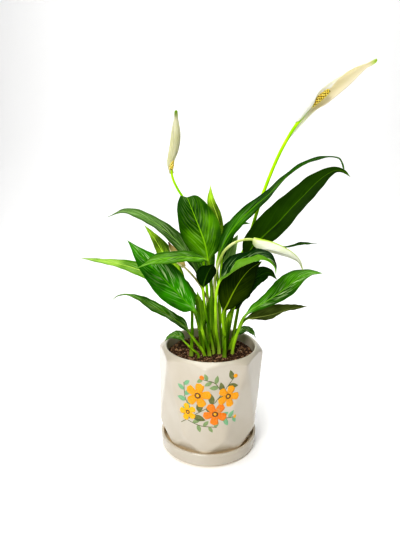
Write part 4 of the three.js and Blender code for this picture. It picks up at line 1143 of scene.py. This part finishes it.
def leaf_solid(leaf, settings):
    """A leaf grown in one piece: its sheath, its grooved stalk and its blade."""
    path = grown_path(leaf)
    collar = path.share_of(2 + len(leaf["bend"]))
    foot, neck = leaf["stalk"]
    per_side = BLADE_MARKS if leaf["width"] > BROAD_BLADE else SLIM_BLADE_MARKS
    marks, side = around_marks(per_side)
    rows = int(np.clip(path.length * (1 - collar) / BLADE_ROW_SPACING, *BLADE_ROWS))
    rings, values = [], {name: [] for name in ("across", "along", "reach", "vein", "under")}

    def keep(points, u, along, reach, vein):
        rings.append(points)
        for name, value in zip(values, (u, np.full(2 * per_side, along), reach, vein, (1 - side) / 2)):
            values[name].append(value)

    face_start, face_end = (np.array(f, float) for f in leaf["face"])
    for j in range(LEAF_STALK_ROWS):
        s = j / LEAF_STALK_ROWS
        sheath = 1 + 0.3 * (1 - smooth(0.0, 0.3, s))
        section = cut(*path.at(collar * s), mix(np.array(STALK_FACE), unit(face_start), s))
        x, up = round_section(mix(foot, neck, s) * sheath, marks, side, STALK_GROOVE)
        keep(laid(section, x, up), marks, s - 1, x, np.zeros(2 * per_side))
    round_x, round_up = round_section(neck, marks, side, STALK_GROOVE)
    for j in range(rows + 1):
        t = j / rows
        section = cut(*path.at(collar + (1 - collar) * t), unit(mix(face_start, face_end, t)))
        flat_x, flat_up, u, reach, vein = blade_section(leaf, t, marks, side, settings)
        k = smooth(0, 0.14, t)
        points = laid(section, mix(round_x, flat_x, k), mix(round_up, flat_up, k))
        keep(points, u, t, reach, vein)
    return skin_rings(rings, values)


def stalk_solid(plant, rows, flare=0.0):
    """A bloom's stalk or a cut stump, which can widen at its end by a flare."""
    path = grown_path(plant)
    foot, neck = plant["stalk"]
    marks, side = around_marks(STEM_MARKS)
    rings, values = [], {"along": []}
    for j in range(rows + 1):
        s = j / rows
        radius = mix(foot, neck, s) * (1 + 0.2 * (1 - smooth(0, 0.15, s))) + flare * smooth(0.7, 1, s)
        rings.append(laid(cut(*path.at(s), STALK_FACE), *round_section(radius, marks, side)))
        values["along"].append(np.full(len(marks), s - 1))
    return skin_rings(rings, values)


def spathe_path(bloom):
    """The path of a hood's back, from where it clasps the stalk, and the clasp's radius."""
    stalk = grown_path(bloom)
    clasp_radius = 1.1 * (1.1 * bloom["stalk"][1] + CLASP_GAP)
    place, _, normal = cut(*stalk.at(1 - bloom["clasp"] / stalk.length), bloom["face"][0])
    return Path([place - clasp_radius * normal, *bloom["path"]]), clasp_radius


def hood_roll(bloom, hood, t):
    """The angle, in radians, from the middle of a hood to its edge at t."""
    low, high = bloom["roll"]
    roll = mix(mix(CLASP_ROLL, low, smooth(0, 0.3, t)), high, smooth(0.3, 1, t))
    roll += hood["foot_roll"] * smooth(0.0, 0.04, t) * (1 - smooth(*hood["opens"], t))
    return math.radians(roll + hood["more_roll"] * smooth(0.0, 0.1, t))


def spathe_solid(bloom):
    """The hood: a blade rolled about its length, clasping the stalk at its foot."""
    path, clasp_radius = spathe_path(bloom)
    stalk_end = grown_path(bloom).at(1.0)[1]
    neck = math.radians(CLASP_ROLL) * clasp_radius
    marks, side = around_marks(HOOD_MARKS)
    rings, values = [], {"across": [], "along": [], "under": []}
    face_start, face_end = (np.array(f, float) for f in bloom["face"])
    hood = {**HOOD_DEFAULTS, **HOODS[bloom["name"]]}
    for j in range(HOOD_ROWS + 1):
        t = j / HOOD_ROWS
        section = cut(*path.at(t), unit(mix(face_start, face_end, t)))
        knob = hood["knob"] * smooth(0.6, 0.92, t) * round_end(t, 24)
        half = max(knob, neck * (1 - t) + bloom["width"] / 2 * blade_outline(t, bloom["widest"]))
        roll = hood_roll(bloom, hood, t)
        curl = half / roll * (1 + hood["lap"] * marks)
        thick = SPATHE_THICKNESS * round_end(marks, 4) * (1 - 0.3 * t)
        ribbed = 0.12 * np.cos(marks * HOOD_VEINS * 2 * math.pi) * (1 - marks ** 2)
        wavy = 0.8 * marks ** 4 * np.sin(HOOD_WAVES * t + 1.3 * np.sign(marks)) * smooth(0.1, 0.4, t)
        depth = SPATHE_THICKNESS / 2 - side * thick / 2 + ribbed + wavy
        x = (curl + depth) * np.sin(marks * roll)
        up = curl - (curl + depth) * np.cos(marks * roll)
        flap = hood["flap"] * smooth(0.1, 0.9, marks) * (1 - smooth(0, 0.3, t))
        rings.append(laid(section, x, up) - np.outer(flap, stalk_end))
        values["across"].append(marks)
        values["along"].append(np.full(len(marks), t))
        values["under"].append((1 - side) / 2)
    return skin_rings(rings, values)


def spadix_solid(bloom, settings):
    """The flower spike: a blunt core covered by florets that wind round it."""
    stalk = grown_path(bloom)
    foot, along = stalk.at(1.0)
    foot = foot + along * CLASP_GAP
    tip = np.array(bloom["spadix"]["to"], float)
    axis = unit(tip - foot)
    length = np.linalg.norm(tip - foot)
    radius = bloom["spadix"]["radius"]
    _, sideways, normal = cut(foot, axis, STALK_FACE)

    def reach(t):
        return radius * math.sqrt(max(0.05, 1 - (2 * t - 1) ** 6)) * (1.05 - 0.2 * t)

    angles = np.linspace(0, 2 * math.pi, SPIKE_MARKS, endpoint=False)
    around = np.outer(np.cos(angles), sideways) + np.outer(np.sin(angles), normal)
    rings, values = [], {"rise": []}
    for j in range(SPIKE_ROWS + 1):
        t = j / SPIKE_ROWS
        rings.append(foot + axis * length * t + around * reach(t))
        values["rise"].append(np.zeros(SPIKE_MARKS))
    bm = skin_rings(rings, values)
    rise = bm.verts.layers.float["rise"]
    golden_angle = math.pi * (3 - math.sqrt(5))
    size = FLORET_RADIUS * math.sqrt(length / USUAL_SPIKE_LENGTH)
    scale = Matrix.Diagonal((size * MM, size * MM, FLORET_FLATNESS * size * MM, 1))
    for k in range(settings.florets):
        t = 0.03 + 0.95 * (k + 0.5) / settings.florets
        out = math.cos(k * golden_angle) * sideways + math.sin(k * golden_angle) * normal
        place = foot + axis * length * t + out * (reach(t) + FLORET_STANDS_OUT)
        turn = Vector(out).to_track_quat("Z", "Y").to_matrix().to_4x4()
        shape = Matrix.Translation(Vector(place) * MM) @ turn @ scale
        for vert in bmesh.ops.create_icosphere(bm, subdivisions=2, radius=1.0, matrix=shape)["verts"]:
            height = (Vector(vert.co) / MM - Vector(place)).dot(Vector(out)) / (FLORET_FLATNESS * size)
            vert[rise] = 0.5 + 0.5 * height
    return bm


# ---- Settings ----------------------------------------------------------------------------------
class LilyPotSettings(bpy.types.PropertyGroup):
    """The glaze and edges of the pot and the saucer"""
    glaze_colour: bpy.props.FloatVectorProperty(
        name="Glaze", description="Colour of the glaze", subtype="COLOR", size=3, min=0, max=1,
        default=linear("#c8c1b4")[:3])
    glaze_warm: bpy.props.FloatVectorProperty(
        name="Pooled glaze", description="Colour where the glaze is thicker", subtype="COLOR", size=3,
        min=0, max=1, default=linear("#b8ad9a")[:3])
    edge_softness: bpy.props.FloatProperty(
        name="Edge softness", description="Rounding of the facets' edges under the glaze",
        default=0.0014, min=0.0002, max=0.006, unit="LENGTH")


class LilySoilSettings(bpy.types.PropertyGroup):
    """What lies on the soil"""
    crumbs: bpy.props.IntProperty(
        name="Crumbs", description="Number of crumbs, bark chips and specks", default=2600, min=0, max=6000)
    seed: bpy.props.IntProperty(name="Seed", description="Start of the random draw", default=11)


class LilyLeafSettings(bpy.types.PropertyGroup):
    """The blades of the leaves"""
    blade_thickness: bpy.props.FloatProperty(
        name="Blade thickness", description="Thickness of a blade beside its midrib",
        default=0.0006, min=0.0002, max=0.002, unit="LENGTH")
    vein_lift: bpy.props.FloatProperty(
        name="Swelling", description="Height by which a blade swells between its veins",
        default=0.00025, min=0, max=0.002, unit="LENGTH")


class LilyBloomSettings(bpy.types.PropertyGroup):
    """The flower spikes"""
    florets: bpy.props.IntProperty(
        name="Florets", description="Number of florets on a spike", default=62, min=20, max=400)


class LilyStageSettings(bpy.types.PropertyGroup):
    """The floor and the lights"""
    floor_colour: bpy.props.FloatVectorProperty(
        name="Floor", description="Colour of the floor and backdrop", subtype="COLOR", size=3,
        min=0, max=1, default=(0.96, 0.96, 0.96))
    key_power: bpy.props.FloatProperty(
        name="Key light", description="Power of the main light", default=10.5, min=0, unit="POWER")
    top_power: bpy.props.FloatProperty(
        name="Top light", description="Power of the light overhead", default=7.0, min=0, unit="POWER")
    wall_power: bpy.props.FloatProperty(
        name="Wall light", description="Power of the light on the backdrop", default=14.0, min=0,
        unit="POWER")
    sky: bpy.props.FloatProperty(
        name="Sky", description="Strength of the light from all round", default=0.12, min=0)


# ---- Operators ---------------------------------------------------------------------------------
class LILY_OT_make_saucer(bpy.types.Operator):
    """Turn the glazed saucer"""
    bl_idname = "lily.make_saucer"
    bl_label = "Make the saucer"

    def execute(self, context):
        bm = turned(rounded(saucer_corners(), segments=7), closed=False, steps=160, longest=3.0)
        finish_piece("glazed_saucer", bm, glaze_material(context.scene.lily_pot), "glaze", "saucer")
        return {"FINISHED"}


class LILY_OT_make_pot(bpy.types.Operator):
    """Turn the pot and draw its wall in to the facets"""
    bl_idname = "lily.make_pot"
    bl_label = "Make the pot"

    def execute(self, context):
        settings = context.scene.lily_pot
        bm = turned(rounded(pot_corners(), segments=7), closed=True, steps=256, longest=1.3)
        shape_facets(bm, settings.edge_softness / MM)
        finish_piece("glazed_pot", bm, glaze_material(settings), "glaze", "pot")
        return {"FINISHED"}


class LILY_OT_make_print(bpy.types.Operator):
    """Lay the flower print on the pot's front"""
    bl_idname = "lily.make_print"
    bl_label = "Make the print"

    def execute(self, context):
        sheet = PrintSheet(context.scene.lily_pot.edge_softness / MM)
        draw_print(sheet)
        bmesh.ops.recalc_face_normals(sheet.bm, faces=sheet.bm.faces)
        finish_piece("flower_print", sheet.bm, print_material(), "glaze")
        return {"FINISHED"}


class LILY_OT_make_soil(bpy.types.Operator):
    """Fill the pot with soil and scatter crumbs over it"""
    bl_idname = "lily.make_soil"
    bl_label = "Make the soil"

    def execute(self, context):
        bm = soil_body()
        scatter_crumbs(bm, context.scene.lily_soil)
        finish_piece("crumbly_soil", bm, soil_material(), "soil", "soil")
        return {"FINISHED"}


class LILY_OT_make_leaves(bpy.types.Operator):
    """Grow every leaf on its stalk, and the stump of the one that was cut"""
    bl_idname = "lily.make_leaves"
    bl_label = "Make the leaves"

    def execute(self, context):
        looks = {look: leaf_material(look) for look in LEAF_LOOKS}
        for entry in LEAVES:
            leaf = {**LEAF_DEFAULTS, **entry}
            bm = leaf_solid(leaf, context.scene.lily_leaf)
            finish_piece(f"grown_{leaf['name']}", bm, looks[leaf["look"]], "leaf", leaf["name"])
        stump = stalk_solid(STUMP, STUMP_ROWS, STUMP_FLARE)
        finish_piece("grown_cut_stalk", stump, stalk_material("stump"), "stalk", STUMP["name"])
        return {"FINISHED"}


class LILY_OT_make_blooms(bpy.types.Operator):
    """Grow the blooms: stalks, hoods and flower spikes"""
    bl_idname = "lily.make_blooms"
    bl_label = "Make the blooms"

    def execute(self, context):
        stems = {look: stalk_material(look) for look in ("fresh", "pale", "dry")}
        skins = {look: spathe_material(look, **colours) for look, colours in SPATHE_LOOKS.items()}
        yellow = spadix_material()
        for bloom in BLOOMS:
            name = bloom["name"]
            wilted = bloom["spadix"] is None
            finish_piece(f"grown_{name}_stalk", stalk_solid(bloom, STEM_ROWS), stems[bloom["stem"]],
                         "wilted" if wilted else "stalk", f"{name}_stalk")
            finish_piece(f"grown_{name}_spathe", spathe_solid(bloom), skins[bloom["skin"]],
                         "wilted" if wilted else "spathe", f"{name}_spathe")
            if not wilted:
                finish_piece(f"grown_{name}_spadix", spadix_solid(bloom, context.scene.lily_bloom),
                             yellow, "spadix", f"{name}_spadix")
        return {"FINISHED"}


# The stage, in metres: the sheet's front edge, its bend and its wall, and the lights.
FLOOR_FRONT = -2.5
WALL_BEHIND = 1.6
WALL_BEND = 0.8
WALL_TOP = 3.5
HALF_STAGE = 4
BEND_STEPS = 16
NEAREST_SEEN = 0.01
LIGHTS = {
    "key": dict(place=(-0.35, -1.05, 0.95), aim=(0, 0, 0.2), size=0.5, colour=(1, 0.99, 0.97)),
    "top": dict(place=(-0.1, 0.0, 1.5), aim=(0, 0, 0), size=1.0, colour=(1, 1, 1)),
    "wall": dict(place=(0, 0.4, 1.7), aim=(0, 1.3, 0.3), size=1.6, colour=(1, 1, 1)),
}


def add_light(name, power, place, aim, size, colour):
    """A square soft light that looks at its aim."""
    light = bpy.data.lights.new(name, "AREA")
    light.size = size
    light.energy = power
    light.color = colour
    lamp = bpy.data.objects.new(name, light)
    lamp.location = place
    lamp.rotation_euler = (Vector(aim) - Vector(place)).to_track_quat("-Z", "Y").to_euler()
    bpy.context.scene.collection.objects.link(lamp)


def add_backdrop(material):
    """One pale sheet: the floor, a wide bend and the wall behind."""
    bend_start = WALL_BEHIND - WALL_BEND
    profile = [(FLOOR_FRONT, 0.0), (bend_start, 0.0)]
    for k in range(1, BEND_STEPS + 1):
        angle = math.pi / 2 * k / BEND_STEPS
        profile.append((bend_start + WALL_BEND * math.sin(angle), WALL_BEND - WALL_BEND * math.cos(angle)))
    profile.append((WALL_BEHIND, WALL_TOP))
    bm = bmesh.new()
    verts = [bm.verts.new((-HALF_STAGE, y, z)) for y, z in profile]
    edges = [bm.edges.new(pair) for pair in zip(verts, verts[1:])]
    swept = bmesh.ops.extrude_edge_only(bm, edges=edges)["geom"]
    far_side = [v for v in swept if isinstance(v, bmesh.types.BMVert)]
    bmesh.ops.translate(bm, vec=(2 * HALF_STAGE, 0, 0), verts=far_side)
    bmesh.ops.recalc_face_normals(bm, faces=bm.faces)
    mesh = bpy.data.meshes.new("backdrop")
    bm.to_mesh(mesh)
    bm.free()
    mesh.shade_smooth()
    mesh.materials.append(material)
    sheet = bpy.data.objects.new("backdrop", mesh)
    bpy.context.scene.collection.objects.link(sheet)


def add_camera():
    """The camera of the photograph, from its solved place, pitch and roll."""
    data = bpy.data.cameras.new("camera")
    data.sensor_width = SENSOR
    data.lens = FOCAL_PIXELS * SENSOR / PICTURE_HEIGHT
    data.shift_x = (PICTURE_CENTRE[0] - AXIS_PIXEL[0]) / PICTURE_HEIGHT
    data.shift_y = (AXIS_PIXEL[1] - PICTURE_CENTRE[1]) / PICTURE_HEIGHT
    data.clip_start = NEAREST_SEEN
    pitch, roll = math.radians(CAMERA_PITCH), math.radians(CAMERA_ROLL)
    right = Vector((1, 0, 0))
    up = Vector((0, math.sin(pitch), math.cos(pitch)))
    back = Vector((0, -math.cos(pitch), math.sin(pitch)))
    across = math.cos(roll) * right + math.sin(roll) * up
    above = math.cos(roll) * up - math.sin(roll) * right
    turn = Matrix((across, above, back)).transposed()
    camera = bpy.data.objects.new("camera", data)
    camera.matrix_world = Matrix.Translation(Vector(CAMERA_PLACE) * MM) @ turn.to_4x4()
    bpy.context.scene.collection.objects.link(camera)
    bpy.context.scene.camera = camera


class LILY_OT_set_stage(bpy.types.Operator):
    """Set the floor, the soft lights and the camera"""
    bl_idname = "lily.set_stage"
    bl_label = "Set the stage"

    def execute(self, context):
        settings = context.scene.lily_stage
        add_camera()
        add_backdrop(floor_material(settings.floor_colour))
        for name, light in LIGHTS.items():
            add_light(name, getattr(settings, f"{name}_power"), **light)
        world = bpy.data.worlds.new("studio")
        world.use_nodes = True
        sky = world.node_tree.nodes["Background"]
        sky.inputs["Color"].default_value = (1, 1, 1, 1)
        sky.inputs["Strength"].default_value = settings.sky
        context.scene.world = world
        context.scene.view_settings.view_transform = "Standard"
        context.scene.view_settings.look = "High Contrast"
        return {"FINISHED"}


class LILY_PT_panel(bpy.types.Panel):
    """The lily's settings and the steps that build it"""
    bl_idname = "LILY_PT_panel"
    bl_label = "Peace lily"
    bl_space_type = "VIEW_3D"
    bl_region_type = "UI"
    bl_category = "Peace lily"

    def draw(self, context):
        layout = self.layout
        for owner in SETTINGS:
            group = getattr(context.scene, owner)
            for name in group.__annotations__:
                layout.prop(group, name)
        for operator in STEPS:
            layout.operator(operator.bl_idname)


STEPS = (LILY_OT_set_stage, LILY_OT_make_saucer, LILY_OT_make_pot, LILY_OT_make_print, LILY_OT_make_soil,
         LILY_OT_make_leaves, LILY_OT_make_blooms)
SETTINGS = dict(lily_pot=LilyPotSettings, lily_soil=LilySoilSettings, lily_leaf=LilyLeafSettings,
                lily_bloom=LilyBloomSettings, lily_stage=LilyStageSettings)


def register():
    """Makes the settings, the operators and the panel known to Blender."""
    for name, group in SETTINGS.items():
        bpy.utils.register_class(group)
        setattr(bpy.types.Scene, name, bpy.props.PointerProperty(type=group))
    for cls in (*STEPS, LILY_PT_panel):
        bpy.utils.register_class(cls)


def unregister():
    """Takes back what register made known."""
    for cls in reversed((*STEPS, LILY_PT_panel)):
        bpy.utils.unregister_class(cls)
    for name, group in SETTINGS.items():
        delattr(bpy.types.Scene, name)
        bpy.utils.unregister_class(group)


def main():
    """Registers the classes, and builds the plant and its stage."""
    register()
    bpy.ops.lily.set_stage()
    bpy.ops.lily.make_saucer()
    bpy.ops.lily.make_pot()
    bpy.ops.lily.make_print()
    bpy.ops.lily.make_soil()
    bpy.ops.lily.make_leaves()
    bpy.ops.lily.make_blooms()


if __name__ == "__main__":
    main()
